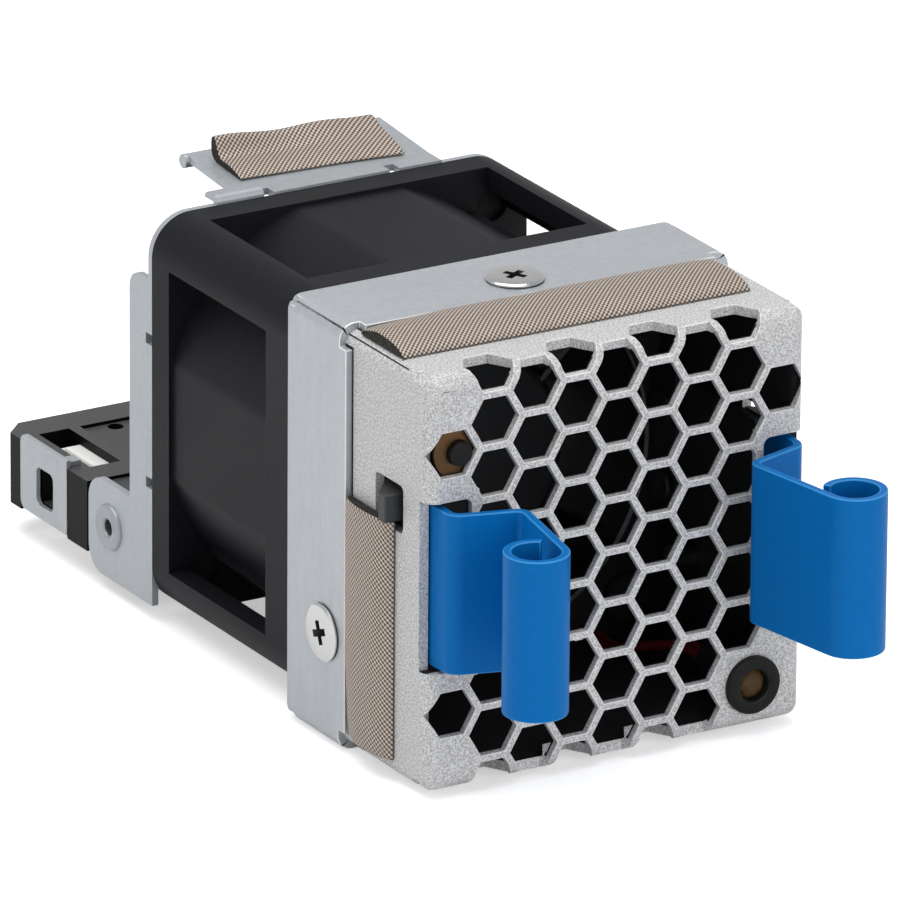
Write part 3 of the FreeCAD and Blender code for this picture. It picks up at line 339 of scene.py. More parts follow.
magnet_grey = grained("magnet_grey", (0.035, 0.034, 0.034), (0.060, 0.058, 0.058), 0.60, 2600.0, 0.01)
turned_brass = plated("turned_brass", (0.36, 0.24, 0.085), (0.50, 0.34, 0.14), 0.38, (1, 1, 1))
dull_bronze = plated("dull_bronze", (0.10, 0.055, 0.025), (0.20, 0.11, 0.05), 0.48, (1, 1, 1))
contact_gold = plated("contact_gold", (0.58, 0.40, 0.12), (0.70, 0.50, 0.18), 0.30, (1, 0.1, 1))
fan_black = grained("fan_black", (0.0070, 0.0075, 0.0095), (0.0120, 0.0127, 0.0158), 0.46, 2600.0, 0.010,
                    sharpness=1.4, Specular_IOR_Level=0.13)
rotor_black = grained("rotor_black", (0.010, 0.0105, 0.012), (0.015, 0.016, 0.018), 0.42, 2200.0, 0.006,
                      sharpness=1.2, Specular_IOR_Level=0.30)
block_black = grained("block_black", (0.0030, 0.0030, 0.0034), (0.0060, 0.0060, 0.0066), 0.42, 2400.0,
                      0.008, sharpness=1.2, Specular_IOR_Level=0.10)
# A paler copy of the block's black, a painted reflection of the overhead light on its top.
block_top_sheen = grained("block_top_sheen", (0.052, 0.052, 0.054), (0.085, 0.085, 0.089), 0.42, 2400.0, 0.008,
                     sharpness=1.2, Specular_IOR_Level=0.20)
bezel_black = grained("bezel_black", (0.0080, 0.0080, 0.0085), (0.0110, 0.0110, 0.0115), 0.40, 1800.0,
                      0.002, sharpness=1.0, Specular_IOR_Level=0.16)
natural_nylon = grained("natural_nylon", (0.84, 0.84, 0.81), (0.90, 0.90, 0.88), 0.42, 1800.0, 0.006,
                        sharpness=1.0)
solder_green = grained("solder_green", (0.008, 0.060, 0.025), (0.014, 0.085, 0.038), 0.35, 1500.0, 0.004,
                       sharpness=1.0)
black_sleeve = grained("black_sleeve", (0.010, 0.010, 0.011), (0.018, 0.018, 0.020), 0.45, 1500.0, 0.004,
                       sharpness=1.0)
red_sleeve = grained("red_sleeve", (0.10, 0.005, 0.004), (0.14, 0.008, 0.006), 0.42, 1500.0, 0.004,
                     sharpness=1.0)
smoked_amber = grained("smoked_amber", (0.030, 0.016, 0.004), (0.120, 0.070, 0.024), 0.32, 1400.0, 0.004,
                       Specular_IOR_Level=0.16)
print("finishes", len(bpy.data.materials))


# %% [markdown]
# Open foam is full of small pores, dark with shade. A cell pattern pushes them into the surface, and the
# same mask darkens the colour in each pore, a painted shade.

# %% Foam
def build_foam():
    material, tree, shader, place = principled("open_foam", 0.9)
    cells = add_node(tree, "ShaderNodeTexVoronoi", feature="F1")
    cells.inputs["Scale"].default_value = 2600.0
    tree.links.new(place.outputs["Object"], cells.inputs["Vector"])
    tree.links.new(mixed(tree, cells.outputs["Distance"], (0.002, 0.002, 0.0015), (0.030, 0.030, 0.022)),
                   shader.inputs["Base Color"])
    add_bump(tree, shader, cells.outputs["Distance"], 0.12)
    return material


open_foam = build_foam()


# %% [markdown]
# Copper wire in a coil lies turn beside turn. A wave pattern across the coil draws the turns, with painted
# shade in the grooves between them and a painted highlight on each.

# %% Coil wire
def build_coil_wire():
    material, tree, shader, place = principled("coil_wire", 0.32, 0.85)
    wave = add_node(tree, "ShaderNodeTexWave", wave_type="BANDS", bands_direction="Y")
    wave.inputs["Scale"].default_value = 700.0
    tree.links.new(place.outputs["Object"], wave.inputs["Vector"])
    tree.links.new(mixed(tree, wave.outputs["Fac"], (0.16, 0.055, 0.02), (0.55, 0.24, 0.10)),
                   shader.inputs["Base Color"])
    add_bump(tree, shader, wave.outputs["Fac"], 0.08)
    return material


coil_wire = build_coil_wire()


# %% [markdown]
# The cloth is woven from metal-coated thread, so it is brownish grey with a soft shine. Where a thread
# comes up over the others it is pale, and between the threads it is dark brown: the weave's pattern, with
# painted highlights on the crowns and painted shade between them. Worn patches level the two.

# %% Shielding cloth
THREAD_CONTRAST = 1.9
WEAR_SHARE = 0.34


def build_cloth():
    material, tree, shader, place = principled("shielding_cloth", 0.50, 0.25)
    uv = add_node(tree, "ShaderNodeUVMap")
    uv.uv_map = "strip"
    node = use_group(tree, plain_weave, uv.outputs["UV"], Threads_per_metre=THREADS)
    centred = maths(tree, "SUBTRACT", node.outputs["Crown"], 0.5)
    steep = maths(tree, "ADD", maths(tree, "MULTIPLY", centred, THREAD_CONTRAST), 0.5)
    # Pale crowns are painted highlights and dark gaps painted shade.
    thread = mixed(tree, steep, (0.020, 0.011, 0.007), (0.70, 0.59, 0.51))
    wear = maths(tree, "MULTIPLY", node.outputs["Wear"], WEAR_SHARE)
    worn = mixed(tree, wear, thread, (0.22, 0.175, 0.145))
    tree.links.new(worn, shader.inputs["Base Color"])
    add_bump(tree, shader, node.outputs["Crown"], 0.05)
    return material


shielding_cloth = build_cloth()
print("cloth and foam ready")


# %% [markdown]
# No real edge is perfectly sharp. A frame part's own mesh stays as it is, so a merged copy stands in for
# it: flat faces become whole again, a narrow bevel rounds the edges, and smooth shading follows the curves,
# with normals weighted by area so that flat faces stay flat to the eye.

# %% Helpers for pieces
WELD = 0.002 * MM
FLAT_WITHIN = math.radians(0.5)
CAP_HALF_X = 20.7
CAP_HALF_Z = 20.8
BEND_R = 1.5
SKIN = 0.12
PAINTED_LIGHT_SLOT = 1
RIM_SLOT = 2

# Only edges near a right angle get a rim. Those shorter than this, in millimetres, stay sharp, since their
# bevels would run into each other: first on the flat face, then in the bends and behind them.
SQUARE_FROM = math.radians(50)
SQUARE_TO = math.radians(130)
SHORT_FLAT = 0.08
SHORT_BEND = 0.16

# A wall looks inwards when its normal leans this much towards the axis, at this distance or more from it.
INWARD_LEAN = 0.6
INWARD_FROM = 17


def piece_from(name, mesh_data, body, material, nodes):
    """A new object that rides a body and stands in for the named frame parts."""
    mesh = bpy.data.meshes.new(name)
    mesh_data.to_mesh(mesh)
    mesh_data.free()
    piece = bpy.data.objects.new(name, mesh)
    bpy.context.scene.collection.objects.link(piece)
    mesh.materials.append(material)
    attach(piece, body)
    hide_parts(*nodes)
    return piece


def smooth_by_angle(mesh, degrees):
    """Smooth shading, with edges sharper than this kept crisp."""
    for face in mesh.polygons:
        face.use_smooth = True
    mesh.set_sharp_from_angle(angle=math.radians(degrees))


def merged_copy(node):
    """A frame part's mesh with its doubled points welded and its flat faces made whole."""
    copy = bmesh.new()
    copy.from_mesh(frame["nodes"][node].data)
    bmesh.ops.remove_doubles(copy, verts=copy.verts, dist=WELD)
    bmesh.ops.dissolve_limit(copy, angle_limit=FLAT_WITHIN, verts=copy.verts, edges=copy.edges)
    return copy


def body_of(node):
    bodies = frame["record"]["behaviour"]["bodies"]
    return next(body for body, members in bodies.items() if node in members)


def dress(node, material, width, angle=40.0, inner=None, rim=None, prepared=None):
    """Stands a soft-edged copy in for a frame part. A second finish may paint shade or sheen on chosen
    faces, and a third paints highlights on the rims.
    """
    form = prepared or merged_copy(node)
    piece = piece_from(node + "_finished", form, body_of(node), material, [node])
    if inner or rim:
        piece.data.materials.append(inner or material)
        piece.data.materials.append(rim or material)
    smooth_by_angle(piece.data, angle)
    if width:
        bevel = piece.modifiers.new("soft_edges", "BEVEL")
        bevel.width = width * MM
        bevel.segments = 2
        bevel.limit_method = "ANGLE"
        bevel.angle_limit = math.radians(angle)
        bevel.use_clamp_overlap = True
    flats = piece.modifiers.new("flat_normals", "WEIGHTED_NORMAL")
    flats.keep_sharp = True
    return piece


def split_at(form, depth):
    """Cuts every face in two where it crosses a depth behind the honeycomb face."""
    bmesh.ops.bisect_plane(form, geom=form.verts[:] + form.edges[:] + form.faces[:],
                           plane_co=at(0, depth, 0), plane_no=(0, 1, 0))
    return form


def rim_bevel(form, chosen, width):
    """Rounds the chosen square edges and gives the new narrow faces the rim's finish, a painted highlight.
    """
    edges = []
    for edge in form.edges:
        middle = ((edge.verts[0].co + edge.verts[1].co) / 2) / MM - Vector((0, FACE_Y, AXIS_Z))
        shortest = SHORT_FLAT if middle.y < 0.01 else SHORT_BEND
        if (len(edge.link_faces) == 2 and SQUARE_FROM < edge.calc_face_angle(0) < SQUARE_TO
                and edge.calc_length() > shortest * MM and chosen(middle)):
            edges.append(edge)
    bmesh.ops.bevel(form, geom=edges, offset=width * MM, offset_type="OFFSET", segments=2, profile=0.5,
                    affect="EDGES", clamp_overlap=False, loop_slide=True, material=RIM_SLOT)
    return form


def outer_skin(p):
    """True near the outside of the cap's folded sheet, flat or in a bend."""
    dy = BEND_R - p.y
    for half, side in ((CAP_HALF_X, abs(p.x)), (CAP_HALF_Z, abs(p.z))):
        out = side - (half - BEND_R)
        if out > 0 and dy > 0 and math.hypot(out, dy) > BEND_R - SKIN:
            return True
        if side > half - SKIN:
            return True
    return p.y < SKIN


def painted_light_finish(piece, chosen):
    """Gives the second finish, a painted shade or painted sheen, to the faces whose middle and normal pass
    a test, and counts them.
    """
    count = 0
    for face in piece.data.polygons:
        middle = (face.center / MM) - Vector((0, FACE_Y, AXIS_Z))
        if chosen(middle, face.normal):
            face.material_index = PAINTED_LIGHT_SLOT
            count += 1
    return count


def faces_axis(p, n):
    """True for a wall that looks towards the fan's axis, from above, below or a side."""
    return any(place * normal < -INWARD_LEAN * abs(place) and abs(place) > INWARD_FROM
               for place, normal in ((p.z, n.z), (p.x, n.x)))


# %% [markdown]
# The visible sheet metal and mouldings get this treatment. Widths are close to the real ones: a coat of
# powder rounds an edge by about a tenth of a millimetre, a moulding's corner by two tenths.

# %% Dressed parts
DRESSED = [
    ("side_clip", zinc_bracket, 0.06),
    ("latch_tab_left", dark_steel_and_shade, 0.12), ("latch_tab_right", dark_steel_and_shade, 0.12),
    ("leaf_root_left", spring_steel, 0.06), ("leaf_root_right", spring_steel, 0.06),
    ("leaf_rivets", spring_steel, 0.12),
    ("fan_frame", fan_black, 0.18), ("impeller", rotor_black, 0.0),
    ("contact_insert", block_black, 0.08),
    ("lead_plug", natural_nylon, 0.12), ("lamp_nut", turned_brass, 0.06),
    ("spare_insert_nut", dull_bronze, 0.06), ("spare_insert_plug", bezel_black, 0.12),
    # The fan's frame screws sit deep in its corners and take the painted inner shade.
    ("frame_screws", painted_inner_shade, 0.08), ("rear_contacts", contact_gold, 0.03),
    ("rotor_yoke", ground_steel, 0.05), ("magnet_ring", magnet_grey, 0.05),
    ("rotor_shaft", ground_steel, 0.05), ("shaft_clip", spring_steel, 0.04),
    ("bearing_tube", turned_brass, 0.05), ("front_bearing", ground_steel, 0.08),
    ("rear_bearing", ground_steel, 0.08), ("stator_core", core_steel, 0.05),
    ("stator_coils", coil_wire, 0.15), ("motor_board", solder_green, 0.05),
    ("fan_leads", black_sleeve, 0.0), ("lamp_leads", red_sleeve, 0.0),
]
for node, material, width in DRESSED:
    dress(node, material, width)
print("dressed", len(DRESSED), "parts")


# %% [markdown]
# The cap is folded from one sheet, so its corners show a fine open seam between two flanges. A long thin
# bar, set on edge at 45 degrees, is taken out of the copy of the walls at each of the four corners.

# %% Seams of the cap
SEAM_WIDE = 0.17
SEAM_DEEP = 0.35
SEAM_INSET = 0.35
SEAM_FRONT = 4.35
SEAM_BACK = 30.0


def cut_with(form, punch):
    """Takes a punch out of a form and gives back a clean bmesh."""
    objects = []
    for data in (form, punch):
        mesh = bpy.data.meshes.new("cutting")
        data.to_mesh(mesh)
        data.free()
        thing = bpy.data.objects.new("cutting", mesh)
        bpy.context.scene.collection.objects.link(thing)
        objects.append(thing)
    cut = objects[0].modifiers.new("cut", "BOOLEAN")
    cut.operation = "DIFFERENCE"
    cut.solver = "EXACT"
    cut.use_self = True
    cut.object = objects[1]
    bpy.context.view_layer.update()
    done = bmesh.new()
    done.from_object(objects[0], bpy.context.evaluated_depsgraph_get())
    for thing in objects:
        mesh = thing.data
        bpy.data.objects.remove(thing)
        bpy.data.meshes.remove(mesh)
    return done


def corner_bars():
    """Bars along the four outer corners of the cap, turned to stand on their edges."""
    size = Vector((SEAM_WIDE * MM, (SEAM_BACK - SEAM_FRONT) * MM, 2 * SEAM_DEEP * MM))
    middle = (SEAM_FRONT + SEAM_BACK) / 2
    bars = bmesh.new()
    for sx in (-1, 1):
        for sz in (-1, 1):
            bar = bmesh.ops.create_cube(bars, size=1.0)["verts"]
            bmesh.ops.scale(bars, vec=size, verts=bar)
            bmesh.ops.rotate(bars, verts=bar, matrix=Matrix.Rotation(sx * sz * math.pi / 4, 3, "Y"))
            bmesh.ops.translate(bars, verts=bar, vec=at(
                sx * (CAP_HALF_X - SEAM_INSET), middle, sz * (CAP_HALF_Z - SEAM_INSET)))
    return bars


seamed_walls = cut_with(merged_copy("cap_walls"), corner_bars())
print("seamed walls", len(seamed_walls.faces), "faces")


# %% [markdown]
# Sheet parts that close the tray are bright outside, and inside they get a painted shade, almost black.
# Their inner faces are found by place and direction. Faces are split where the painted shade starts: part
# way into each hole, just ahead of the pan's front edge as a painted shadow line, and on the handles as far
# back as the slots let anyone see. The block's top is painted paler, a painted reflection of the overhead
# light.

# %% Parts with two finishes
CRISP = 20.0
GRILLE_RIM = 0.09
WALLS_RIM = 0.07
PAN_RIM = 0.08
HANDLE_RIM = 0.12

HOLE_SHADE_FROM = 0.74
FACE_COAT = 0.02
FACE_MIDDLE = 0.4
FACE_BACK = 1.0
LEDGE_FROM = 1.2
LEDGE_X = 19
RIM_TOP_Z = 19.0
HOLES_WITHIN = 19.6
GRILLE_BACK = 4.2

PAN_FRONT_Y = 14.3
WALL_SHADE_Y = PAN_FRONT_Y - 0.28
BETWEEN_CORNERS = 18.8
FLANGE_OUT = 0.3
PAN_STEP_Y = 24
PAN_PLATE_Y = 25.15

ROLL_BACK_Y = 1.0
BLUE_BACK_Y = 6.0


def grille_rims(p):
    """True on the flat face's outside and on the top bend, but not where the walls carry on."""
    return outer_skin(p) and p.y < GRILLE_BACK - 0.1 and (p.y < FACE_COAT or p.z > RIM_TOP_Z)


def wall_rims(p):
    return outer_skin(p) and p.y > SEAM_FRONT


def pan_rims(p):
    return max(abs(p.x) - CAP_HALF_X, abs(p.z) - CAP_HALF_Z) > FLANGE_OUT


def grille_painted_shade(p, n):
    """True where the grille gets painted shade: the face's back, the holes' far ends, the bends' inside and
    the ledges of the right side.
    """
    back = n.y > 0.5 and p.y > FACE_MIDDLE
    hole_end = p.y > HOLE_SHADE_FROM and abs(n.y) < 0.5 and max(abs(p.x), abs(p.z)) < HOLES_WITHIN
    bend = p.y > FACE_BACK and faces_axis(p, n)
    ledge = p.y > LEDGE_FROM and n.y < -0.9 and p.x > LEDGE_X
    return back or hole_end or bend or ledge


def walls_painted_shade(p, n):
    """True where the walls get painted shade: their inside, and what the pan's flanges cover, with a
    painted shadow line just ahead of the pan's front edge.
    """
    return (p.y > WALL_SHADE_Y and min(abs(p.x), abs(p.z)) < BETWEEN_CORNERS) or faces_axis(p, n)


def pan_painted_shade(p, n):
    """True for the pan's faces that look into the cap, which get painted shade."""
    return p.y < PAN_PLATE_Y and (faces_axis(p, n) or (n.y < -0.5 and p.y > PAN_STEP_Y))


# Rims take the lighter rim finishes, painted highlights, and inner faces take the painted shade.
rimmed = rim_bevel(merged_copy("front_grille"), grille_rims, GRILLE_RIM)
grille = dress("front_grille", silver_coat, 0.0, angle=CRISP, inner=painted_inner_shade, rim=silver_rim_highlight,
               prepared=split_at(rimmed, HOLE_SHADE_FROM))
rimmed = rim_bevel(seamed_walls, wall_rims, WALLS_RIM)
walls = dress("cap_walls", silver_coat, 0.0, angle=CRISP, inner=painted_inner_shade, rim=silver_rim_highlight,
              prepared=split_at(rimmed, WALL_SHADE_Y))
pan = dress("fan_pan", zinc, 0.0, angle=CRISP, inner=painted_inner_shade, rim=zinc_rim_highlight,
            prepared=rim_bevel(merged_copy("fan_pan"), pan_rims, PAN_RIM))
dress("rear_bracket", zinc_bracket, 0.07)
# The block's top faces get the paler finish, a painted reflection.
block = dress("connector_housing", block_black, 0.15, inner=block_top_sheen)
counts = [
    painted_light_finish(block, lambda p, n: n.z > 0.9),
    painted_light_finish(grille, grille_painted_shade),
    painted_light_finish(walls, walls_painted_shade),
    painted_light_finish(pan, pan_painted_shade),
]
# Past BLUE_BACK_Y the handles' legs take the painted inner shade instead of blue.
for side in ("left", "right"):
    rimmed = rim_bevel(merged_copy("handle_" + side), lambda p: p.y < ROLL_BACK_Y, HANDLE_RIM)
    handle = dress("handle_" + side, blue_coat, 0.0, angle=CRISP, inner=painted_inner_shade, rim=blue_rim_highlight,
                   prepared=split_at(rimmed, BLUE_BACK_Y))
    counts.append(painted_light_finish(handle, lambda p, n: p.y > BLUE_BACK_Y))
print("inner faces", counts)


# %% [markdown]
# A flat-head screw starts as a short profile that is spun round its axis. The cross recess is cut with a
# punch of two crossed bars that taper inwards, and its faces take the dark steel finish as a painted shade.

# %% Screws of the pan
HEAD_R = 2.85
HEAD_CROWN = 0.50
RECESS_LONG = 3.3
RECESS_WIDE = 0.80
RECESS_DEEP = 1.2
SCREW_Y = 18.3
PAN_TOP_Z = 21.5
PAN_SIDE_X = 21.4
SIDE_SCREW_Z = -10.3


def spun(profile, steps, ring=False):
    """A form of revolution about Z from (radius, height) points in millimetres. A ring's profile closes."""
    form = bmesh.new()
    verts = [form.verts.new((r * MM, 0, z * MM)) for r, z in profile]
    for first, second in zip(verts, verts[1:] + verts[:1] if ring else verts[1:]):
        form.edges.new((first, second))
    bmesh.ops.spin(form, geom=form.verts[:] + form.edges[:], cent=(0, 0, 0), axis=(0, 0, 1), dvec=(0, 0, 0),
                   angle=math.tau, steps=steps, use_merge=True)
    bmesh.ops.remove_doubles(form, verts=form.verts, dist=0.001 * MM)
    bmesh.ops.recalc_face_normals(form, faces=form.faces)
    return form


def add_form(whole, form):
    """Moves all faces of a form into a larger one."""
    spare = bpy.data.meshes.new("spare")
    form.to_mesh(spare)
    form.free()
    whole.from_mesh(spare)
    bpy.data.meshes.remove(spare)


def cross_punch():
    punch = bmesh.new()
    for turn in (0, math.pi / 2):
        bar = bmesh.ops.create_cube(punch, size=1.0)["verts"]
        bmesh.ops.scale(punch, vec=(RECESS_LONG * MM, RECESS_WIDE * MM, 2 * RECESS_DEEP * MM), verts=bar)
        low = [v for v in bar if v.co.z < 0]
        bmesh.ops.scale(punch, vec=(0.45, 0.8, 1), verts=low)
        bmesh.ops.rotate(punch, verts=bar, matrix=Matrix.Rotation(turn, 3, "Z"))
    return punch


def pan_screw_head():
    rim = HEAD_R - 0.16
    profile = [(0, HEAD_CROWN), (rim * 0.6, HEAD_CROWN - 0.01), (rim - 0.14, HEAD_CROWN - 0.04),
               (rim, HEAD_CROWN - 0.08), (HEAD_R, HEAD_CROWN - 0.20), (HEAD_R, 0.16),
               (HEAD_R - 0.08, 0.09), (HEAD_R - 0.24, 0.07), (HEAD_R - 0.24, -0.10), (1.45, -1.45),
               (1.45, -4.2), (0, -4.2)]
    punch = cross_punch()
    bmesh.ops.translate(punch, vec=(0, 0, HEAD_CROWN * MM), verts=punch.verts)
    head = cut_with(spun(profile, 64), punch)
    for face in head.faces:
        # Faces inside the recess get the second finish, a painted shade.
        middle = face.calc_center_median() / MM
        in_reach = math.hypot(middle.x, middle.y) < RECESS_LONG / 2 + 0.1
        if in_reach and -RECESS_DEEP < middle.z < HEAD_CROWN - 0.08:
            face.material_index = PAINTED_LIGHT_SLOT
    return head


# Each screw has its place, the lean of its axis about Y, and the chance turn of its recess.
SCREWS = [
    (at(-0.6, SCREW_Y, PAN_TOP_Z), 0, 0.5),
    (at(-PAN_SIDE_X, SCREW_Y, SIDE_SCREW_Z), -math.pi / 2, 0.35),
    (at(PAN_SIDE_X, SCREW_Y, SIDE_SCREW_Z), math.pi / 2, 0.9),
]
screw_set = bmesh.new()
for place, lean, turn in SCREWS:
    head = pan_screw_head()
    bmesh.ops.rotate(head, verts=head.verts,
                     matrix=Matrix.Rotation(lean, 3, "Y") @ Matrix.Rotation(turn, 3, "Z"))
    bmesh.ops.translate(head, vec=place, verts=head.verts)
    add_form(screw_set, head)
screws = piece_from("pan_screws_finished", screw_set, "tray", bright_screw, ["pan_screws"])
# Dark steel paints shade in the cross recesses.
screws.data.materials.append(dark_steel_and_shade)
smooth_by_angle(screws.data, 30)
print("screw faces", len(screws.data.polygons))


# %% [markdown]
# The lamp is a turned black ring with a wide bore, and a small amber dome that fills it. Both are spun like
# the screws. The ring's front edge is rounded, and the bore narrows like a funnel towards the dome.

# %% Lamp
LAMP_PLACE = at(15.0, 0.0, -16.4)
LAMP_LONG = 7.0
LAMP_TURN = Matrix.Rotation(math.pi / 2, 3, "X")
RING = [(1.62, 0.50), (1.78, 0.60), (2.74, 0.60), (2.86, 0.54), (2.90, 0.42), (2.90, 0.0), (2.10, 0.0),
        (2.10, -LAMP_LONG), (1.25, -LAMP_LONG), (1.25, -0.6), (1.50, -0.2), (1.62, 0.50)]
DOME = [(0, 0.42), (0.5, 0.38), (0.95, 0.22), (1.30, -0.02), (1.46, -0.20), (1.22, -0.55),
        (1.22, -LAMP_LONG), (0, -LAMP_LONG)]


def turned(name, profile, material, node):
    """A spun piece of the lamp, laid along the axis of its hole."""
    form = spun(profile, 56)
    bmesh.ops.rotate(form, verts=form.verts, matrix=LAMP_TURN)
    bmesh.ops.translate(form, verts=form.verts, vec=LAMP_PLACE)
    piece = piece_from(name, form, body_of(node), material, [node])
    smooth_by_angle(piece.data, 40)
    return piece


ring = turned("lamp_bezel_finished", RING, bezel_black, "lamp_bezel")
dome = turned("lamp_lens_finished", DOME, smoked_amber, "lamp_lens")
print("lamp faces", len(ring.data.polygons), len(dome.data.polygons))


# %% [markdown]
# A hollow rivet is a rolled tube: a broad soft rim, a ring-shaped valley and an open bore. One profile
# spun round the rivet's axis gives all of it.

# %% Rivets of the ears
EAR_X = 20.0
RIVET_Y = 62.2
RIVET_Z = -14.6
RIVET_BORE = 0.80
RIVET_PROFILE = [(RIVET_BORE, 0.10), (1.05, 0.34), (1.40, 0.40), (1.72, 0.30), (1.95, 0.40), (2.20, 0.34),
                 (2.35, 0.12), (2.35, 0.0), (1.40, 0.0), (1.40, -2.70), (RIVET_BORE, -2.70)]


def ear_rivet():
    """One rivet, with painted shade in its bore."""
    form = spun(RIVET_PROFILE, 48, ring=True)
    for face in form.faces:
        middle = face.calc_center_median() / MM
        if math.hypot(middle.x, middle.y) < RIVET_BORE + 0.1:
            face.material_index = PAINTED_LIGHT_SLOT
    return form


rivet_set = bmesh.new()
for side in (-1, 1):
    rivet = ear_rivet()
    bmesh.ops.rotate(rivet, verts=rivet.verts, matrix=Matrix.Rotation(side * math.pi / 2, 3, "Y"))
    bmesh.ops.translate(rivet, vec=at(side * EAR_X, RIVET_Y, RIVET_Z), verts=rivet.verts)
    add_form(rivet_set, rivet)
rivets = piece_from("ear_rivets_finished", rivet_set, "tray", zinc_side, ["ear_rivets"])
# Dark steel paints shade in the rivets' bores.
rivets.data.materials.append(dark_steel_and_shade)
smooth_by_angle(rivets.data, 50)
print("rivet faces", len(rivets.data.polygons))


# %% [markdown]
# A shielding strip is cloth wrapped round a foam core, glued down along its flat side. The wrap is drawn as
# a profile that is repeated along the strip in many small steps, so that it can pucker a little. Where the
# strip is glued to the cap, the profile stays open. A Solidify modifier gives the cloth its thickness, and
# the foam shows at the cut ends.

# %% Helpers for strips
STRIP_STEPS = 72
CLOTH_T = 0.16
PUCKER = 0.012
FOAM_GAP = 0.10


def cloth_strip(name, sections, node, seed):
    """Cloth through a row of profiles, each a list of points in metres of the same count."""
    draw = random.Random(seed)
    form = bmesh.new()
    rows = []
    for points in sections:
        rows.append([form.verts.new(p) for p in points])
    for row in rows:
        for first, second in zip(row, row[1:]):
            form.edges.new((first, second))
    for low, high in zip(rows, rows[1:]):
        for k in range(len(low) - 1):
            form.faces.new((low[k], high[k], high[k + 1], low[k + 1]))
    bmesh.ops.recalc_face_normals(form, faces=form.faces)
    form.verts.index_update()
    coordinates = {}
    for row in rows:
        u = (row[0].co - rows[0][0].co).length
        v = 0.0
        for k, vert in enumerate(row):
            if k:
                v += (vert.co - row[k - 1].co).length
            coordinates[vert.index] = (u, v)
    inner = [v for row in rows[1:-1] for v in row[1:-1]]
    for vert in inner:
        vert.co += vert.normal * draw.uniform(-PUCKER, PUCKER) * MM
    piece = piece_from(name, form, "tray", shielding_cloth, [node])
    layer = piece.data.uv_layers.new(name="strip")
    for loop in piece.data.loops:
        layer.data[loop.index].uv = coordinates[loop.vertex_index]
    for face in piece.data.polygons:
        face.use_smooth = True
    wall = piece.modifiers.new("cloth_wall", "SOLIDIFY")
    wall.thickness = CLOTH_T * MM
    wall.offset = -1
    soft = piece.modifiers.new("soft", "SUBSURF")
    soft.levels = 1
    soft.render_levels = 1
    return piece


def smooth_profile(points, count):
    """Even points along a smooth line through the given (across, up) pairs."""
    spans = [0.0]
    for a, b in zip(points, points[1:]):
        spans.append(spans[-1] + math.dist(a, b))
    out = []
    for step in range(count):
        s = spans[-1] * step / (count - 1)
        k = max(i for i in range(len(points) - 1) if spans[i] <= s + 1e-9)
        t = (s - spans[k]) / (spans[k + 1] - spans[k])
        p0 = Vector(points[max(k - 1, 0)])
        p1 = Vector(points[k])
        p2 = Vector(points[k + 1])
        p3 = Vector(points[min(k + 2, len(points) - 1)])
        out.append(0.5 * ((2 * p1) + (p2 - p0) * t + (2 * p0 - 5 * p1 + 4 * p2 - p3) * t * t
                          + (3 * p1 - p0 - 3 * p2 + p3) * t * t * t))
    return out


# %% [markdown]
# The strips on the cap's top and side share a profile: a low edge at the front, a crown near the pan. The
# cloth dips at the cut ends, where it is pinched, and at its start the back edge sags clear of the pan.

# %% Top and side strips
# Points are (back from the strip's front, up from the sheet) in millimetres.
CROWN = [(0.05, 0.02), (0.0, 0.24), (0.35, 0.62), (1.1, 0.98), (2.6, 1.32), (4.7, 1.44), (6.4, 1.32),
         (7.6, 1.05), (8.08, 0.80), (8.1, 0.05)]
CROWN_POINTS = 22
STRIP_FRONT = 6.0
TOP_LENGTH = 38.0
SIDE_LENGTH = 24.0
TOP_START_X = -20.0
SIDE_START_Z = -19.2
SWELL = 0.05
PINCH = 0.12
PINCH_FADE = 1.1
SAG_LENGTH = 8.5
SAG_FORWARD = 0.20
SAG_DOWN = 0.35
SAG_FROM = 5.0
SAG_RUN = 3.0


def strip_sections(place, length):
    outline = smooth_profile(CROWN, CROWN_POINTS)
    sections = []
    for step in range(STRIP_STEPS + 1):
        s = step / STRIP_STEPS
        edge = min(s, 1 - s) * length
        pinch = 1.0 - PINCH * math.exp(-edge / PINCH_FADE)
        wave = 1.0 + SWELL * math.sin(s * 9.0 + 0.7) * 0.5 + SWELL * math.sin(s * 23.0) * 0.3
        sag = 1.0 - min(s * length / SAG_LENGTH, 1.0)
        points = []
        for p in outline:
            rear = min(max((p.x - SAG_FROM) / SAG_RUN, 0.0), 1.0)
            height = p.y * pinch * wave * (1 - SAG_DOWN * rear * sag)
            points.append(place(s * length, p.x - SAG_FORWARD * rear * sag, height))
        sections.append(points)
    return sections


def foam_between(name, sections, node):
    """Closed foam through the same profiles, drawn in from the cloth by a small gap."""
    form = bmesh.new()
    along = (sections[-1][0] - sections[0][0]).normalized()
    rows = []
    for points in sections:
        loop = points[:-1] if (points[0] - points[-1]).length < 0.01 * MM else points
        count = len(loop)
        spans = [point - loop[0] for point in loop]
        turn = sum(spans[k].cross(spans[(k + 1) % count]).dot(along) for k in range(count))
        row = []
        for k, p in enumerate(loop):
            run = (loop[(k + 1) % count] - loop[k - 1]).normalized()
            inward = along.cross(run) * (1 if turn > 0 else -1)
            row.append(form.verts.new(p + inward * FOAM_GAP * MM))
        rows.append(row)
    count = len(rows[0])
    for low, high in zip(rows, rows[1:]):
        for k in range(count):
            form.faces.new((low[k], high[k], high[(k + 1) % count], low[(k + 1) % count]))
    form.faces.new(rows[0])
    form.faces.new(rows[-1])
    bmesh.ops.recalc_face_normals(form, faces=form.faces)
    piece = piece_from(name, form, "tray", open_foam, [node])
    smooth_by_angle(piece.data, 40)
    return piece


def on_top(s, y, height):
    return at(TOP_START_X + s, STRIP_FRONT + y, CAP_HALF_Z + height)


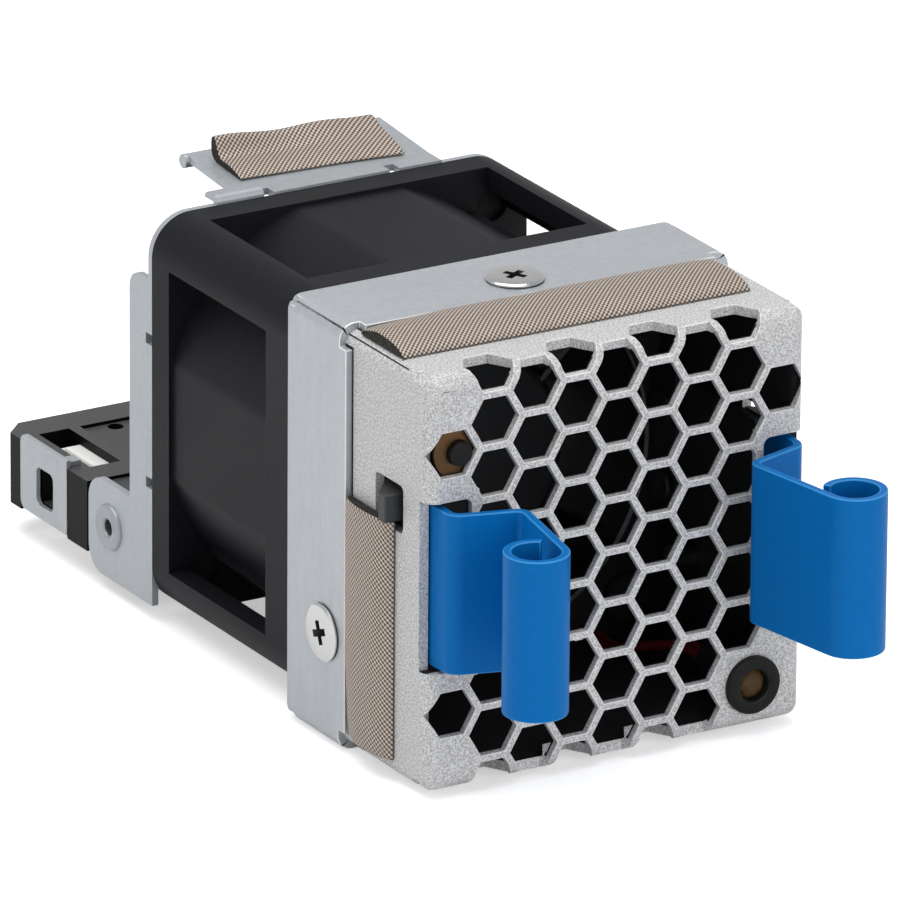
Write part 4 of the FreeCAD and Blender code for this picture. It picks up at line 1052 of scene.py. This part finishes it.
def on_left_side(s, y, height):
    return at(-CAP_HALF_X - height, STRIP_FRONT + y, SIDE_START_Z + s)


TOP_SECTIONS = strip_sections(on_top, TOP_LENGTH)
SIDE_SECTIONS = strip_sections(on_left_side, SIDE_LENGTH)
top_strip = cloth_strip("top_gasket_cloth", TOP_SECTIONS, "top_gasket", 11)
side_strip = cloth_strip("side_gasket_cloth", SIDE_SECTIONS, "side_gasket", 12)
foam_between("top_gasket_core", TOP_SECTIONS, "top_gasket_foam")
foam_between("side_gasket_core", SIDE_SECTIONS, "side_gasket_foam")


# %% [markdown]
# The strip on the rear tongue is bent: it lies flat in front and stands up like a leaf at the back, more on
# the left than on the right. Its cloth goes all the way round, its profiles change from one end to the
# other, and a slow wave lifts its top line.

# %% Rear strip
LEAF_LEFT = [(8.8, 0.52), (4.1, 0.18), (3.95, 0.36), (5.4, 0.86), (6.9, 1.12), (8.0, 1.18), (8.6, 1.95),
             (9.15, 3.0), (9.75, 2.85), (9.85, 1.7), (9.5, 0.85), (8.8, 0.52)]
LEAF_RIGHT = [(8.8, 0.52), (2.9, 0.10), (2.75, 0.30), (3.5, 0.68), (5.1, 1.22), (6.7, 1.62), (8.1, 2.12),
              (9.0, 2.5), (9.6, 2.35), (9.8, 1.5), (9.5, 0.85), (8.8, 0.52)]
LEAF_POINTS = 34
LEAF_STEPS = STRIP_STEPS // 2
LEAF_WAVE = 0.05
LEAF_FROM = -7.9
LEAF_TO = 9.8
TONGUE_Z = 20.25
FAN_BACK_Y = 53.8


def leaf_sections():
    left = smooth_profile(LEAF_LEFT, LEAF_POINTS)
    right = smooth_profile(LEAF_RIGHT, LEAF_POINTS)
    sections = []
    for step in range(LEAF_STEPS + 1):
        s = step / LEAF_STEPS
        points = []
        for a, b in zip(left, right):
            p = a.lerp(b, s)
            lift = p.y * (1.0 + LEAF_WAVE * math.sin(s * 11.0 + 0.5))
            points.append(at(LEAF_FROM + (LEAF_TO - LEAF_FROM) * s, FAN_BACK_Y + p.x, TONGUE_Z + lift))
        sections.append(points)
    return sections


LEAF_SECTIONS = leaf_sections()
rear_strip = cloth_strip("rear_gasket_cloth", LEAF_SECTIONS, "rear_gasket", 13)
foam_between("rear_gasket_core", LEAF_SECTIONS, "rear_gasket_foam")
print("strips", len(top_strip.data.polygons), len(side_strip.data.polygons), len(rear_strip.data.polygons))


# %% [markdown]
# The camera stands far off with a long lens, as in a catalogue shot, a little above the tray and to its
# left. Its turn comes from three directions: right, up and back towards the viewer.

# %% Camera
AZIMUTH = math.radians(-30.66)
ELEVATION = math.radians(20.66)
ROLL = math.radians(0.401)
LENS = 569.6
SENSOR = 36.0
FARTHEST = 20.0
CAMERA_PLACE = Vector((-651.06, -1086.83, 502.83)) * MM

back = Vector((math.sin(AZIMUTH) * math.cos(ELEVATION), -math.cos(AZIMUTH) * math.cos(ELEVATION),
               math.sin(ELEVATION)))
right = Vector((math.cos(AZIMUTH), math.sin(AZIMUTH), 0))
up = back.cross(right)
turned_right = right * math.cos(ROLL) + up * math.sin(ROLL)
turned_up = up * math.cos(ROLL) - right * math.sin(ROLL)
camera_data = bpy.data.cameras.new("catalogue_camera")
camera_data.lens = LENS
camera_data.sensor_width = SENSOR
camera_data.clip_end = FARTHEST
camera = bpy.data.objects.new("catalogue_camera", camera_data)
camera.matrix_world = Matrix((
    (turned_right.x, turned_up.x, back.x, CAMERA_PLACE.x),
    (turned_right.y, turned_up.y, back.y, CAMERA_PLACE.y),
    (turned_right.z, turned_up.z, back.z, CAMERA_PLACE.z),
    (0, 0, 0, 1)))
bpy.context.scene.collection.objects.link(camera)
bpy.context.scene.camera = camera


# %% [markdown]
# The background is pure white. The floor's own colour does most of that, and what the camera sees of it
# directly gets a little extra, so that the object's soft shadow stays and the lamps needn't be strong.

# %% Floor
FLOOR_GLOW = 0.48
FLOOR_GLINT = 0.04
FLOOR_HALF = 3.0  # metres
FLOOR_DROP = 0.05  # millimetres


def build_floor_paint():
    material = bpy.data.materials.new("white_floor")
    material.use_nodes = True
    tree = material.node_tree
    shader = next(n for n in tree.nodes if n.type == "BSDF_PRINCIPLED")
    shader.inputs["Base Color"].default_value = (0.86, 0.86, 0.86, 1)
    shader.inputs["Roughness"].default_value = 0.9
    shader.inputs["Specular IOR Level"].default_value = 0.1
    shader.inputs["Emission Color"].default_value = (1, 1, 1, 1)
    path = add_node(tree, "ShaderNodeLightPath")
    direct = maths(tree, "MULTIPLY", path.outputs["Is Camera Ray"], FLOOR_GLOW)
    mirrored = maths(tree, "MULTIPLY", path.outputs["Is Glossy Ray"], FLOOR_GLINT)
    tree.links.new(maths(tree, "ADD", direct, mirrored), shader.inputs["Emission Strength"])
    return material


floor_form = bmesh.new()
bmesh.ops.create_grid(floor_form, x_segments=1, y_segments=1, size=FLOOR_HALF)
bmesh.ops.translate(floor_form, vec=(0, 0, -FLOOR_DROP * MM), verts=floor_form.verts)
floor_mesh = bpy.data.meshes.new("floor")
floor_form.to_mesh(floor_mesh)
floor_form.free()
floor_mesh.materials.append(build_floor_paint())
floor = bpy.data.objects.new("floor", floor_mesh)
bpy.context.scene.collection.objects.link(floor)


# %% [markdown]
# One large soft box overhead, a weaker one at the left and a low one in front light the tray as a product
# shot does. The world is pale for what the camera sees, and dimmer as a light, so that forms keep shading.

# %% Light
LIGHT_AIM = Vector((0, 0.0, 0.02))
SOFT_BOXES = [  # name, place and size in metres, power in watts
    ("overhead_box", (-0.10, 0.05, 0.75), (0.7, 0.7), 4.4),
    ("left_box", (-0.75, 0.10, 0.25), (0.5, 0.5), 0.30),
    ("front_box", (0.15, -0.85, 0.30), (0.5, 0.4), 1.7),
]
HORIZON = 0.66
ZENITH = 0.40


def soft_box(name, place, size, power):
    data = bpy.data.lights.new(name, "AREA")
    data.shape = "RECTANGLE"
    data.size = size[0]
    data.size_y = size[1]
    data.energy = power
    lamp = bpy.data.objects.new(name, data)
    lamp.location = place
    lamp.rotation_euler = (LIGHT_AIM - Vector(place)).to_track_quat("-Z", "Y").to_euler()
    bpy.context.scene.collection.objects.link(lamp)


for name, place, size, power in SOFT_BOXES:
    soft_box(name, place, size, power)

world = bpy.data.worlds.new("studio")
world.use_nodes = True
bpy.context.scene.world = world
sky = world.node_tree
sky.nodes.clear()
sky_out = add_node(sky, "ShaderNodeOutputWorld")
dim = add_node(sky, "ShaderNodeBackground")
dim.inputs["Color"].default_value = (1, 1, 1, 1)
direction = add_node(sky, "ShaderNodeTexCoord")
parts = add_node(sky, "ShaderNodeSeparateXYZ")
sky.links.new(direction.outputs["Generated"], parts.inputs[0])
steepness = maths(sky, "ABSOLUTE", parts.outputs[2])
dimming = maths(sky, "MULTIPLY", steepness, HORIZON - ZENITH)
sky.links.new(maths(sky, "SUBTRACT", HORIZON, dimming), dim.inputs["Strength"])
pale = add_node(sky, "ShaderNodeBackground")
pale.inputs["Color"].default_value = (1, 1, 1, 1)
pale.inputs["Strength"].default_value = 1.0
choose = add_node(sky, "ShaderNodeMixShader")
path = add_node(sky, "ShaderNodeLightPath")
sky.links.new(path.outputs["Is Camera Ray"], choose.inputs[0])
sky.links.new(dim.outputs[0], choose.inputs[1])
sky.links.new(pale.outputs[0], choose.inputs[2])
sky.links.new(choose.outputs[0], sky_out.inputs["Surface"])
bpy.context.scene.view_settings.view_transform = "Standard"
